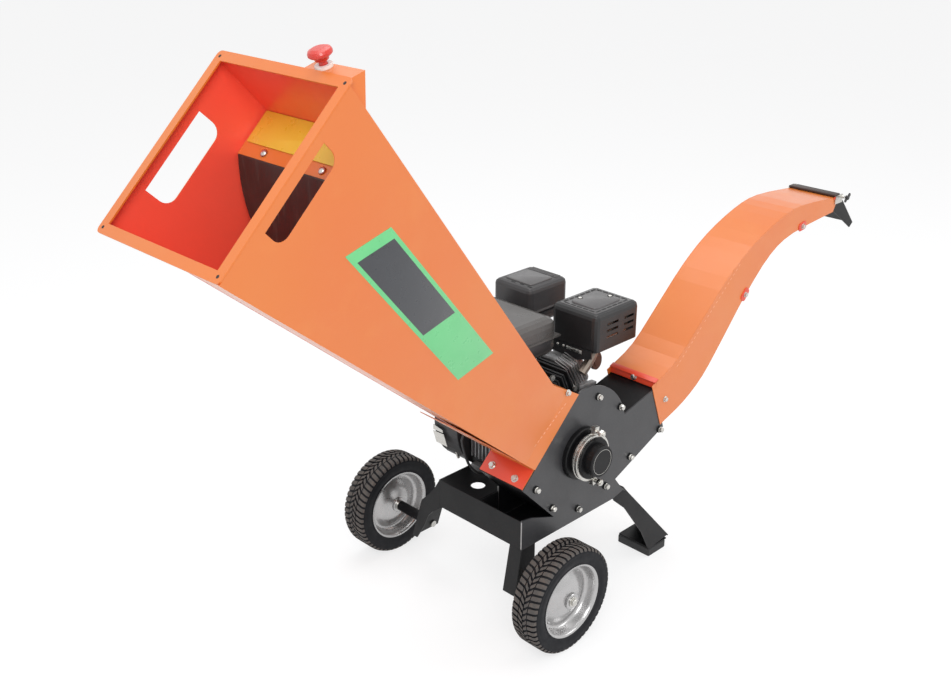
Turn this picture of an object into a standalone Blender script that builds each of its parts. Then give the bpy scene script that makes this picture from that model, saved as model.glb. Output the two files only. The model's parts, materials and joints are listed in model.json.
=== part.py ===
"""Petrol garden shredder: a funnel hopper feeds a knife rotor turned by a small petrol engine, and a curved
chute throws the chips out over the back. Metres, +Z up. +X runs from the hopper towards the chute, -Y is the
side with the rotor's outer bearing. The wheels' axis is at x = 0 until the whole machine is centred at the end."""

import math

import bmesh
import bpy
from mathutils import Matrix, Vector

# Driving dimensions
GAP = 0.0003  # left between pieces that touch
SHEET = 0.0015  # hopper and chute sheet
PLATE = 0.004  # chamber side plates
FOLDED = 0.003  # base table, skirts and legs

WHEEL_R = 0.127
TYRE_HALF_W = 0.0360
RIM_R = 0.0858
HUB_R = 0.019
AXLE_R = 0.008
WHEEL_Y = 0.2885  # wheel centre, each side

NEAR_Y = -0.219  # outer face of the near chamber plate
CHAMBER_W = 0.134  # over both chamber plates
FAR_Y = NEAR_Y + CHAMBER_W
MID_Y = NEAR_Y + CHAMBER_W / 2
SHAFT_X = 0.131
SHAFT_Z = 0.411
DRUM_X = 0.140  # the chamber's round wall isn't quite concentric with the rotor
DRUM_Z = 0.415
CHAMBER_R = 0.150
CASING_R = 0.1145  # the wrapped casing between the plates, round the rotor
SHAFT_R = 0.0125
ROTOR_R = 0.098
KNIFE_R = 0.108
NECK_ANGLE = math.radians(20)
NECK_TOP = (0.3976, 0.4786)
NECK_BOTTOM = (0.4408, 0.3640)
NECK_ROOT_BOTTOM = (0.2627, 0.2892)

TABLE_Z = 0.309  # top of the base table
TABLE_FRONT_X = -0.057
TABLE_REAR_X = 0.290
TABLE_FAR_Y = 0.045
SKIRT_H = 0.0715
FOOT_PAD = (0.068, 0.100, 0.022)

HOPPER_TILT = math.radians(44.5)
HOPPER_FOOT = (0.0499, MID_Y, 0.4914)  # where the hopper's axis meets the chamber's sloped face
HOPPER_DEPTH = 1.0315
COLLAR_DEPTH = 0.040
EAR_DEPTH = 0.1012
FOOT_LOW = -0.0964
FOOT_HIGH = 0.0594
EAR_HIGH = 0.1003
MOUTH_LOW = -0.2043
MOUTH_HIGH = 0.1545
UNDERSIDE_RISE = 0.018  # of the far lower edge over the near one, at the mouth
MOUTH_NEAR = -0.1695  # the hopper leans a little to the far side
MOUTH_FAR = 0.1865
LIP_HIGH = 0.1671
LIP_W = 0.020
FLANGE_LOW = -0.1492

CHUTE_TOP = (
    (0.400, 0.496),
    (0.480, 0.530),
    (0.574, 0.609),
    (0.667, 0.688),
    (0.762, 0.747),
    (0.880, 0.791),
    (0.985, 0.806),
    (1.166, 0.791),
)
CHUTE_BOTTOM = (
    (0.443, 0.381),
    (0.517, 0.407),
    (0.590, 0.452),
    (0.665, 0.529),
    (0.755, 0.626),
    (0.850, 0.705),
    (0.950, 0.739),
    (1.145, 0.754),
)
CHUTE_LAP = 0.018  # how far the chute's sides reach back over the neck

ENGINE_W = 0.260  # along the crankshaft, without the shaft's free end
RECOIL_R = 0.098
SHROUD_R = 0.128
CASE_DEPTH = 0.130
SHROUD_DEPTH = 0.078

ORANGE = ((0.86, 0.25, 0.06, 1), 0.35, 0.0)
BLACK = ((0.02, 0.02, 0.022, 1), 0.4, 0.0)
GREY = ((0.11, 0.11, 0.12, 1), 0.45, 0.2)
PLASTIC = ((0.03, 0.03, 0.032, 1), 0.5, 0.0)
RUBBER = ((0.025, 0.025, 0.028, 1), 0.8, 0.0)
SILVER = ((0.60, 0.60, 0.62, 1), 0.35, 0.8)
ZINC = ((0.75, 0.75, 0.73, 1), 0.3, 1.0)
CAST = ((0.32, 0.32, 0.33, 1), 0.5, 0.7)
STEEL = ((0.45, 0.45, 0.47, 1), 0.3, 1.0)
RED = ((0.65, 0.03, 0.02, 1), 0.3, 0.0)
WHITE = ((0.85, 0.85, 0.83, 1), 0.4, 0.0)


# Scene and helpers


def clear_scene():
    for obj in list(bpy.data.objects):
        bpy.data.objects.remove(obj, do_unlink=True)


def collection(name):
    made = bpy.data.collections.new(name)
    bpy.context.scene.collection.children.link(made)
    return made


clear_scene()
PARTS = collection("garden_shredder")
CUTTERS = collection("cutters")
ROOT = bpy.data.objects.new("machine", None)
PARTS.objects.link(ROOT)
HOPPER = bpy.data.objects.new("hopper_frame", None)
PARTS.objects.link(HOPPER)
HOPPER.parent = ROOT
HOPPER.location = HOPPER_FOOT
HOPPER.rotation_euler = (0, -HOPPER_TILT, 0)
MATERIALS = {}


def material(name, look):
    if name not in MATERIALS:
        made = bpy.data.materials.new(name)
        made.use_nodes = True
        shader = made.node_tree.nodes["Principled BSDF"]
        colour, roughness, metallic = look
        shader.inputs["Base Color"].default_value = colour
        shader.inputs["Roughness"].default_value = roughness
        shader.inputs["Metallic"].default_value = metallic
        made.diffuse_color = colour
        MATERIALS[name] = made
    return MATERIALS[name]


def place(mesh, name, look, parent=ROOT, at=(0, 0, 0), turn=(0, 0, 0), smooth=True):
    obj = bpy.data.objects.new(name, mesh)
    PARTS.objects.link(obj)
    obj.parent = parent
    obj.location = at
    obj.rotation_euler = turn
    if look is not None:
        mesh.materials.append(material(look[0], look[1]))
    if smooth:
        mesh.shade_smooth()
        mesh.set_sharp_from_angle(angle=math.radians(35))
    return obj


def as_cutter(obj):
    PARTS.objects.unlink(obj)
    CUTTERS.objects.link(obj)
    obj.hide_render = True
    obj.display_type = "WIRE"
    return obj


def boolean(obj, other, operation="DIFFERENCE"):
    as_cutter(other)
    step = obj.modifiers.new(operation.lower(), "BOOLEAN")
    step.operation = operation
    step.object = other
    step.solver = "EXACT"


def mesh_of(name, bm):
    mesh = bpy.data.meshes.new(name)
    bm.to_mesh(mesh)
    bm.free()
    return mesh


def flat_mesh(name, outlines, thickness):
    """A flat plate in the local XY plane, centred on it; later outlines are holes in the first."""
    curve = bpy.data.curves.new(name, "CURVE")
    curve.dimensions = "2D"
    curve.fill_mode = "BOTH"
    curve.extrude = thickness / 2
    for outline in outlines:
        spline = curve.splines.new("POLY")
        spline.points.add(len(outline) - 1)
        for point, (u, v) in zip(spline.points, outline):
            point.co = (u, v, 0, 1)
        spline.use_cyclic_u = True
    guide = bpy.data.objects.new(name + "_outline", curve)
    bpy.context.scene.collection.objects.link(guide)
    graph = bpy.context.evaluated_depsgraph_get()
    mesh = bpy.data.meshes.new_from_object(guide.evaluated_get(graph))
    bpy.data.objects.remove(guide, do_unlink=True)
    bm = bmesh.new()
    bm.from_mesh(mesh)
    bmesh.ops.remove_doubles(bm, verts=bm.verts, dist=1e-6)
    bmesh.ops.recalc_face_normals(bm, faces=bm.faces)
    bm.to_mesh(mesh)
    bm.free()
    return mesh


UPRIGHT = (math.radians(90), 0, 0)  # turns a flat plate's XY plane to XZ


def side_plate(name, outlines, y_low, thickness, look, parent=ROOT):
    """A plate in an XZ plane, from y_low to y_low + thickness."""
    mesh = flat_mesh(name, outlines, thickness)
    return place(mesh, name, look, parent, (0, y_low + thickness / 2, 0), UPRIGHT)


def block(name, low, high, look, parent=ROOT, at=(0, 0, 0), turn=(0, 0, 0), bevel=0, segments=2):
    bm = bmesh.new()
    bmesh.ops.create_cube(bm, size=1)
    size = Vector(high) - Vector(low)
    bmesh.ops.scale(bm, vec=size, verts=bm.verts)
    bmesh.ops.translate(bm, vec=(Vector(high) + Vector(low)) / 2, verts=bm.verts)
    obj = place(mesh_of(name, bm), name, look, parent, at, turn)
    if bevel:
        step = obj.modifiers.new("rounding", "BEVEL")
        step.width = bevel
        step.segments = segments
        step.limit_method = "ANGLE"
    return obj


def turned(name, profile, look, parent=ROOT, at=(0, 0, 0), turn=(0, 0, 0), steps=32, ring=False):
    """A turned piece round local Z: (radius, height) pairs run from the top down the outer side."""
    bm = bmesh.new()
    verts = [bm.verts.new((radius, 0, height)) for radius, height in profile]
    for a, b in zip(verts, verts[1:]):
        bm.edges.new((a, b))
    if ring:
        bm.edges.new((verts[-1], verts[0]))
    obj = place(mesh_of(name, bm), name, look, parent, at, turn, smooth=False)
    screw = obj.modifiers.new("turning", "SCREW")
    screw.axis = "Z"
    screw.steps = steps
    screw.render_steps = steps
    screw.use_merge_vertices = True
    screw.merge_threshold = 1e-5
    screw.use_smooth_shade = True
    return obj


TOWARDS_FAR = (math.radians(-90), 0, 0)  # local Z points to +Y
TOWARDS_NEAR = (math.radians(90), 0, 0)  # local Z points to -Y


def cylinder_profile(radius, low, high, chamfer=0.0):
    return [
        (0, high),
        (radius - chamfer, high),
        (radius, high - chamfer),
        (radius, low + chamfer),
        (radius - chamfer, low),
        (0, low),
    ] if chamfer else [(0, high), (radius, high), (radius, low), (0, low)]


def round_bar(name, radius, low, high, look, chamfer=0.0, **where):
    return turned(name, cylinder_profile(radius, low, high, chamfer), look, **where)


def ring_profile(inner, outer, low, high):
    return [(inner, high), (outer, high), (outer, low), (inner, low)]


def folded_sheet(name, rows, thickness, look, inside, parent=ROOT, outward=False):
    """A sheet folded along the rows, each a list of points; its thickness goes towards the inside point."""
    bm = bmesh.new()
    lines = [[bm.verts.new(point) for point in row] for row in rows]
    for first, second in zip(lines, lines[1:]):
        for i in range(len(first) - 1):
            bm.faces.new((first[i], first[i + 1], second[i + 1], second[i]))
    bm.normal_update()
    bm.faces.ensure_lookup_table()
    face = bm.faces[0]
    if face.normal.dot(face.calc_center_median() - Vector(inside)) < 0:
        bmesh.ops.reverse_faces(bm, faces=bm.faces)
    obj = place(mesh_of(name, bm), name, look, parent, smooth=False)
    step = obj.modifiers.new("sheet", "SOLIDIFY")
    step.thickness = thickness
    step.offset = 1 if outward else -1
    step.use_even_offset = True
    return obj


def tube(name, points, radius, look, parent=ROOT, at=(0, 0, 0), resolution=2):
    curve = bpy.data.curves.new(name, "CURVE")
    curve.dimensions = "3D"
    curve.bevel_depth = radius
    curve.bevel_resolution = resolution
    curve.use_fill_caps = True
    spline = curve.splines.new("POLY")
    spline.points.add(len(points) - 1)
    for point, where in zip(spline.points, points):
        point.co = (*where, 1)
    guide = bpy.data.objects.new(name + "_line", curve)
    bpy.context.scene.collection.objects.link(guide)
    graph = bpy.context.evaluated_depsgraph_get()
    mesh = bpy.data.meshes.new_from_object(guide.evaluated_get(graph))
    bpy.data.objects.remove(guide, do_unlink=True)
    bm = bmesh.new()
    bm.from_mesh(mesh)
    bmesh.ops.remove_doubles(bm, verts=bm.verts, dist=1e-6)
    bmesh.ops.recalc_face_normals(bm, faces=bm.faces)
    bm.to_mesh(mesh)
    bm.free()
    return place(mesh, name, look, parent, at)


def arc(centre, radius, start, end, steps):
    """Points on an arc, angles in degrees, both ends included."""
    angles = [math.radians(start + (end - start) * i / steps) for i in range(steps + 1)]
    return [(centre[0] + radius * math.cos(a), centre[1] + radius * math.sin(a)) for a in angles]


def filleted(corners, radius, steps=4):
    """A closed outline with each corner rounded by the radius."""
    outline = []
    for i, corner in enumerate(corners):
        here = Vector(corner)
        before = (Vector(corners[i - 1]) - here).normalized()
        after = (Vector(corners[(i + 1) % len(corners)]) - here).normalized()
        half = before.angle(after) / 2
        centre = here + (before + after).normalized() * radius / math.sin(half)
        start = here + before * radius / math.tan(half) - centre
        end = here + after * radius / math.tan(half) - centre
        sweep = start.angle_signed(end)
        for k in range(steps + 1):
            outline.append(tuple(centre + Matrix.Rotation(-sweep * k / steps, 2) @ start))
    return outline


def rectangle(low, high):
    return [(low[0], low[1]), (high[0], low[1]), (high[0], high[1]), (low[0], high[1])]


def smooth_line(points, steps):
    """Points on a smooth curve through the given ones."""
    line = []
    for i in range(len(points) - 1):
        before = Vector(points[max(i - 1, 0)])
        a = Vector(points[i])
        b = Vector(points[i + 1])
        after = Vector(points[min(i + 2, len(points) - 1)])
        for k in range(steps):
            s = k / steps
            line.append(
                0.5
                * (2 * a + (b - before) * s + (2 * before - 5 * a + 4 * b - after) * s**2 + (3 * a - before - 3 * b + after) * s**3)
            )
    line.append(Vector(points[-1]))
    return [tuple(p) for p in line]


# Wheels


def tyre_profile():
    tread = WHEEL_R
    edge = TYRE_HALF_W
    half = [
        (RIM_R, edge - 0.0045),
        (RIM_R + 0.006, edge - 0.0025),
        (tread - 0.020, edge),
        (tread - 0.006, edge - 0.0008),
        (tread, edge - 0.0055),
    ]
    return half + [(r, -h) for r, h in reversed(half)]


def rim_profile():
    """Two pressed steel domes round the hub, back to back and hollow between, and the bead seat round them."""
    dome = RIM_R - 0.0138
    edge = TYRE_HALF_W
    half = [
        (AXLE_R + GAP, edge - 0.0015),
        (HUB_R, edge - 0.0015),
        (HUB_R, 0.0255),
        (HUB_R + 0.012, 0.0230),
        (dome - 0.022, 0.0150),
        (dome - 0.004, 0.0065),
        (RIM_R - 0.0073, 0.0095),
        (RIM_R - 0.0053, edge - 0.0105),
        (RIM_R - 0.0026, edge - 0.0037),
        (RIM_R + 0.0022, edge - 0.0021),
        (RIM_R + 0.0024, edge - 0.0031),
        (RIM_R - GAP, edge - 0.0041),
        (RIM_R - 0.0030, edge - 0.0125),
    ]
    inner = [
        (AXLE_R + GAP, -0.0205),
        (HUB_R + 0.010, -0.0205),
        (dome - 0.024, -0.0128),
        (dome - 0.017, 0.0),
        (dome - 0.024, 0.0128),
        (HUB_R + 0.010, 0.0205),
        (AXLE_R + GAP, 0.0205),
    ]
    return half + [(r, -h) for r, h in reversed(half)] + inner


def make_wheel(side, sign, inner_y):
    """sign is -1 on the near side; the axle runs from inner_y to just past the hub."""
    turn = TOWARDS_NEAR if sign < 0 else TOWARDS_FAR
    centre = (0, sign * WHEEL_Y, WHEEL_R)
    turned("tyre_" + side, tyre_profile(), ("tyre_rubber", RUBBER), at=centre, turn=turn, steps=40, ring=True)
    turned("rim_" + side, rim_profile(), ("rim_silver", SILVER), at=centre, turn=turn, steps=26, ring=True)
    length = WHEEL_Y - abs(inner_y)
    axle = [
        (0, 0.0420),
        (AXLE_R - 0.001, 0.0420),
        (AXLE_R, 0.0410),
        (AXLE_R, -0.0348),
        (AXLE_R + 0.005, -0.0348),
        (AXLE_R + 0.005, -0.0385),
        (AXLE_R, -0.0385),
        (AXLE_R, -length),
        (0, -length),
    ]
    turned("axle_" + side, axle, ("zinc", ZINC), at=centre, turn=turn, steps=20)


# Base frame


def bent_leg_outline():
    """The far front leg's face, seen from the front, in (y, z): out from the table's corner, then down."""
    corner = TABLE_FAR_Y
    under = TABLE_Z - SKIRT_H - GAP
    return [
        (corner - 0.008, under),
        (corner + GAP, under),
        (corner + GAP, TABLE_Z - FOLDED),
        (corner + 0.018, 0.2773),
        (corner + 0.037, 0.2539),
        (corner + 0.062, 0.2290),
        (corner + 0.098, 0.1150),
        (corner + 0.082, 0.1150),
        (corner + 0.057, 0.1565),
        (corner + 0.041, 0.1934),
        (corner + 0.024, 0.2120),
    ]


def facing_front(name, outline, x_low, thickness, look):
    """A plate in a YZ plane; the outline is in (y, z)."""
    mesh = flat_mesh(name, [outline], thickness)
    turn = Matrix(((0, 0, 1), (1, 0, 0), (0, 1, 0))).to_euler()
    return place(mesh, name, look, ROOT, (x_low + thickness / 2, 0, 0), turn)


def make_base():
    """The table carries the engine; in front its skirt runs on to the near chamber plate."""
    black = ("black_paint", BLACK)
    inner = FAR_Y + GAP
    table = rectangle((TABLE_FRONT_X, inner), (TABLE_REAR_X, TABLE_FAR_Y))
    hole = [(-0.010 + u, -0.036 + v) for u, v in arc((0, 0), 0.017, 0, 345, 23)]
    mesh = flat_mesh("base_table", [table, hole], FOLDED)
    top = place(mesh, "base_table", black, at=(0, 0, TABLE_Z - FOLDED / 2))
    skirt_low = TABLE_Z - SKIRT_H
    under = TABLE_Z - FOLDED / 2
    behind_plate = NEAR_Y + PLATE + GAP
    far_face = TABLE_FAR_Y - FOLDED
    skirts = (
        ((TABLE_FRONT_X, behind_plate, skirt_low), (TABLE_FRONT_X + FOLDED, TABLE_FAR_Y, under)),
        ((TABLE_FRONT_X, behind_plate, under - 0.002), (TABLE_FRONT_X + FOLDED, inner + 0.002, TABLE_Z)),
        ((TABLE_FRONT_X, far_face, TABLE_Z - 0.030), (TABLE_REAR_X, TABLE_FAR_Y, under)),
        ((0.195, far_face, skirt_low), (TABLE_REAR_X, TABLE_FAR_Y, under)),
        ((TABLE_REAR_X - FOLDED, inner, skirt_low), (TABLE_REAR_X, TABLE_FAR_Y, under)),
    )
    for i, (low, high) in enumerate(skirts):
        boolean(top, block("skirt_%d" % i, low, high, None), "UNION")

    leg_face = [
        (NEAR_Y, skirt_low - GAP),
        (NEAR_Y + 0.036, skirt_low - GAP),
        (NEAR_Y + 0.056, 0.106),
        (NEAR_Y + 0.019, 0.106),
    ]
    near = facing_front("front_leg_near", leg_face, TABLE_FRONT_X, FOLDED, black)
    cheek_y = NEAR_Y + 0.030
    cheek = [(TABLE_FRONT_X, skirt_low - GAP), (0.020, skirt_low - GAP), (0.020, 0.108), (TABLE_FRONT_X, 0.108)]
    boolean(near, side_plate("leg_cheek", [cheek], cheek_y, 0.004, None), "UNION")
    bore = round_bar("leg_bore", AXLE_R + GAP, -0.1, 0.1, None, at=(0, cheek_y, WHEEL_R), turn=TOWARDS_FAR, steps=20)
    boolean(near, bore)

    far = facing_front("front_leg_far", bent_leg_outline(), TABLE_FRONT_X, FOLDED, black)
    bends = [(TABLE_FAR_Y + 0.060, 0.2290), (TABLE_FAR_Y + 0.096, 0.1160)]
    rows = [[(TABLE_FRONT_X, y, z), (0.022, y, z)] for y, z in bends]
    wing = folded_sheet("leg_wing", rows, 0.004, None, (0, 0, 0.15))
    boolean(far, wing, "UNION")
    sleeve_start = TABLE_FAR_Y + 0.092
    sleeve_end = WHEEL_Y - 0.0388
    axle_line = {"at": (0, 0, WHEEL_R), "turn": TOWARDS_FAR, "steps": 20}
    boolean(far, round_bar("leg_sleeve", 0.0125, sleeve_start, sleeve_end, None, **axle_line), "UNION")
    boolean(far, round_bar("wing_bore", AXLE_R + GAP, 0.02, 0.4, None, **axle_line))

    make_rear_leg("near", NEAR_Y, NEAR_Y, 1, [(0.2600, skirt_low - 0.0004), (0.2960, 0.2458)])
    make_rear_leg("far", TABLE_FAR_Y + FOLDED + GAP, -NEAR_Y, -1, [(0.2600, 0.2365), (0.2925, 0.2590)])


def make_rear_leg(side, top_y, foot_y, inward, top_row):
    """An angle on a rubber foot: a cheek in the frame's side and a broad flange behind it."""
    black = ("black_paint", BLACK)
    bend_z = TABLE_Z - SKIRT_H
    sole_z = FOOT_PAD[2] + GAP

    def leg_point(x, z, across=0.0):
        splay = max(bend_z - z, 0) / (bend_z - sole_z)
        return (x, top_y + (foot_y - top_y) * splay + inward * across, z)

    cheek_rows = [
        [leg_point(x, z) for x, z in top_row],
        [leg_point(0.2640, 0.2290), leg_point(0.3125, 0.2335)],
        [leg_point(0.3074, 0.1899), leg_point(0.3589, 0.1833)],
        [leg_point(0.3819, 0.0889), leg_point(0.4452, 0.0876)],
        [leg_point(0.4165, sole_z + 0.002), leg_point(0.4940, 0.0330)],
    ]
    leg = folded_sheet("rear_leg_" + side, cheek_rows, FOLDED, black, (0.35, top_y + inward * 0.5, 0.2))
    width = FOOT_PAD[1]
    path = [(0.2975, 0.2540), (0.3140, 0.2345), (0.4975, 0.0310)]
    rows = [[leg_point(x, z, 0.0004), leg_point(x, z, width)] for x, z in path]
    boolean(leg, folded_sheet("flange_" + side, rows, FOLDED, None, (0.20, top_y, 0.0)), "UNION")
    near_edge = min(foot_y, foot_y + inward * width)
    far_edge = max(foot_y, foot_y + inward * width)
    sole_low = (0.4210, near_edge + 0.0008, sole_z)
    sole_high = (0.4900, far_edge - 0.0008, sole_z + FOLDED)
    boolean(leg, block("sole_" + side, sole_low, sole_high, None), "UNION")
    pad_low = (0.4180, near_edge, 0)
    pad_high = (0.4180 + FOOT_PAD[0], far_edge, FOOT_PAD[2])
    block("foot_pad_" + side, pad_low, pad_high, ("foot_rubber", RUBBER), bevel=0.003)


# Chamber and rotor


def face_point(along, out=0.0):
    """(x, z) on the chamber's sloped inlet face, along it from the hopper's axis, and out from it."""
    c, s = math.cos(HOPPER_TILT), math.sin(HOPPER_TILT)
    return (HOPPER_FOOT[0] + along * c - out * s, HOPPER_FOOT[2] + along * s + out * c)


def casing_top():
    """The casing's round top over the rotor."""
    return arc((SHAFT_X, SHAFT_Z), CASING_R, 75, 15, 10)


def plate_outline(top_start, over, below):
    """A side plate: sloped inlet face up to top_start, round top, neck, and the base's side below."""
    return [face_point(FLANGE_LOW), face_point(top_start), *over, NECK_TOP, NECK_BOTTOM, *below]


def strip_rows(path, y_low, y_high):
    return [[(x, y_low, z), (x, y_high, z)] for x, z in path]


def make_chamber():
    grey = ("plate_grey", GREY)
    black = ("black_paint", BLACK)
    bore = arc((SHAFT_X, SHAFT_Z), 0.030, 0, 345, 23)
    low_edge = TABLE_Z - SKIRT_H
    near_below = [
        (0.2635, 0.2888),
        (0.2960, 0.2462),
        (0.2600, low_edge),
        (TABLE_FRONT_X, low_edge),
        (TABLE_FRONT_X, 0.3120),
        (-0.0271, 0.3073),
        (0.0475, 0.2786),
    ]
    near_outline = plate_outline(EAR_HIGH, arc((DRUM_X, DRUM_Z), CHAMBER_R, 95, 14, 12), near_below)
    side_plate("chamber_plate_near", [near_outline, bore], NEAR_Y, PLATE, grey)
    far_below = [(0.2635, 0.2888), (0.2860, 0.2600), (0.2860, low_edge), (0.0040, low_edge), (0.0040, 0.3239)]
    far_outline = plate_outline(EAR_HIGH - 0.006, casing_top(), far_below)
    side_plate("chamber_plate_far", [far_outline, bore], FAR_Y - PLATE, PLATE, black)

    low = NEAR_Y + PLATE + GAP
    high = FAR_Y - PLATE - GAP
    top_path = [face_point(0.075, -0.0040), *casing_top(), NECK_TOP]
    inside = (SHAFT_X, MID_Y, SHAFT_Z)
    folded_sheet("chamber_top_wrap", strip_rows(top_path, low, high), FOLDED, black, inside)
    under_drum = arc((DRUM_X, DRUM_Z), CHAMBER_R + 0.014, -48, -122, 12)
    bottom_path = [NECK_BOTTOM, *under_drum, face_point(FLANGE_LOW)]
    folded_sheet("chamber_bottom_wrap", strip_rows(bottom_path, low, high), FOLDED, black, inside)

    half = CHAMBER_W / 2 - PLATE - GAP
    frame = rectangle((FLANGE_LOW + 0.006, -half), (EAR_HIGH - 0.006, half))
    feed = rectangle((FOOT_LOW + 0.014, -half + 0.006), (FOOT_HIGH - 0.004, half - 0.006))
    mesh = flat_mesh("inlet_plate", [frame, feed], FOLDED)
    place(mesh, "inlet_plate", black, HOPPER, (0, 0, -FOLDED / 2 - GAP))

    edge_r = KNIFE_R + 0.0015
    bed = block(
        "bed_knife",
        (-edge_r - 0.040, low, -0.004),
        (-edge_r, high, 0.004),
        ("knife_steel", STEEL),
        at=(SHAFT_X, 0, SHAFT_Z),
        turn=(0, math.radians(-2), 0),
    )
    bed.modifiers.new("edge", "BEVEL").width = 0.001


ROTOR_HALF_W = 0.055


def make_rotor():
    """Two discs on a keyed hub carry two knives on their holders; the engine's shaft runs right through."""
    steel = ("rotor_steel", STEEL)
    centre = (SHAFT_X, MID_Y, SHAFT_Z)
    rotor = round_bar("rotor", 0.028, -ROTOR_HALF_W + 0.001, ROTOR_HALF_W - 0.001, steel, at=centre, turn=TOWARDS_FAR)
    disc_t = 0.008
    for i, low in enumerate((-ROTOR_HALF_W, ROTOR_HALF_W - disc_t)):
        disc = round_bar("disc_%d" % i, ROTOR_R, low, low + disc_t, None, at=centre, turn=TOWARDS_FAR, steps=38)
        boolean(rotor, disc, "UNION")
    for i in range(2):
        angle = math.radians(30 + 180 * i)
        turn = (0, -angle, 0)
        holder_low = (0.0605, -ROTOR_HALF_W + 0.0041, -0.030)
        holder_high = (0.090, ROTOR_HALF_W - 0.004, -0.006)
        boolean(rotor, block("holder_%d" % i, holder_low, holder_high, None, at=centre, turn=turn), "UNION")
        knife_low = (0.062, -ROTOR_HALF_W + disc_t + GAP, -0.006 + GAP)
        knife_high = (KNIFE_R, ROTOR_HALF_W - disc_t - GAP, 0.002)
        name = "rotor_knife_" + "ab"[i]
        knife = block(name, knife_low, knife_high, ("knife_steel", STEEL), at=centre, turn=turn)
        edge = block("bevel_cut_%d" % i, (-0.03, -0.2, -0.02), (0.03, 0.2, 0.0), None, at=centre, turn=turn)
        edge.data.transform(Matrix.Translation((KNIFE_R, 0, -0.006)) @ Matrix.Rotation(math.radians(-35), 4, "Y"))
        boolean(knife, edge)

    near_end = NEAR_Y - 0.050
    far_end = FAR_Y + ENGINE_W - 0.062
    shaft = [
        (0, far_end - MID_Y),
        (SHAFT_R - 0.003, far_end - MID_Y),
        (SHAFT_R - 0.003, FAR_Y + 0.140 - MID_Y),
        (SHAFT_R, FAR_Y + 0.140 - MID_Y),
        (SHAFT_R, near_end - MID_Y),
        (0, near_end - MID_Y),
    ]
    crank = turned("crankshaft", shaft, None, at=centre, turn=TOWARDS_FAR, steps=24)
    boolean(rotor, crank, "UNION")


def make_bearing():
    """Flange, split housing with a clamp band, and a closed cap, outside the near plate."""
    at = (SHAFT_X, NEAR_Y, SHAFT_Z)
    black = ("black_paint", BLACK)
    bore = SHAFT_R + GAP
    flange = [
        (0, 0.064),
        (0.0350, 0.064),
        (0.0375, 0.0615),
        (0.0375, 0.043),
        (0.047, 0.043),
        (0.049, 0.041),
        (0.049, 0.014),
        (0.060, 0.012),
        (0.062, 0.010),
        (0.062, GAP),
        (0.028, GAP),
        (0.028, -PLATE - 0.003),
        (bore, -PLATE - 0.003),
        (bore, 0.055),
        (0, 0.055),
    ]
    turned("bearing_housing", flange, black, at=at, turn=TOWARDS_NEAR)
    band = turned(
        "bearing_clamp",
        ring_profile(0.049 + GAP, 0.0545, 0.023, 0.038),
        ("zinc", ZINC),
        at=at,
        turn=TOWARDS_NEAR,
        ring=True,
    )
    for i, angle in enumerate((80, -80)):
        turn = (0, math.radians(-angle), 0)
        ear = block("ear_%d" % i, (0.051, -0.036, -0.007), (0.073, -0.025, 0.007), None, at=at, turn=turn)
        boolean(band, ear, "UNION")


# Hopper, in its own frame: X up the mouth, Y across, Z out along the hopper


def hopper_side(out, sign):
    """Y of the near (-1) or far (1) panel's outer face."""
    flare = max(out - COLLAR_DEPTH, 0) / (HOPPER_DEPTH - COLLAR_DEPTH)
    foot = sign * CHAMBER_W / 2
    mouth = MOUTH_FAR if sign > 0 else MOUTH_NEAR
    return foot + flare * (mouth - foot)


def hopper_low(out, far=False):
    """The underside's edge; it rises a little towards the far side, most at the mouth."""
    rise = UNDERSIDE_RISE if far else 0.0
    return FOOT_LOW + (MOUTH_LOW + rise - FOOT_LOW) * out / HOPPER_DEPTH


def hopper_high(out):
    if out < EAR_DEPTH:
        fold = FOOT_HIGH + (MOUTH_HIGH - FOOT_HIGH) * EAR_DEPTH / HOPPER_DEPTH
        foot = EAR_HIGH - 0.004
        return foot + (fold - foot) * out / EAR_DEPTH
    return FOOT_HIGH + (MOUTH_HIGH - FOOT_HIGH) * out / HOPPER_DEPTH


SLOT_LOW = -0.101
SLOT_HIGH = 0.0624
SLOT_NEAR = (HOPPER_DEPTH - 0.0615, HOPPER_DEPTH - 0.0180)
SLOT_FAR = (HOPPER_DEPTH - 0.0805, HOPPER_DEPTH - 0.0275)
SLOT_R = 0.022
BAFFLE_OUT = HOPPER_DEPTH - 0.127
BAFFLE_LOW = 0.0488
CURTAIN_L = 0.190
CURTAIN_T = 0.004
CURTAIN_DROP = CURTAIN_T / 2 + 0.0005  # its hinge line below the baffle's edge
PANEL_RECESS = 0.0005


def slot_outline(deep, by_mouth):
    """A hand slot: square corners towards the mouth, round ones behind."""
    deep_low = arc((SLOT_LOW + SLOT_R, deep + SLOT_R), SLOT_R, 180, 270, 6)
    deep_high = arc((SLOT_HIGH - SLOT_R, deep + SLOT_R), SLOT_R, 270, 360, 6)
    return [(SLOT_LOW, by_mouth), *deep_low, *deep_high, (SLOT_HIGH, by_mouth)]


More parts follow.
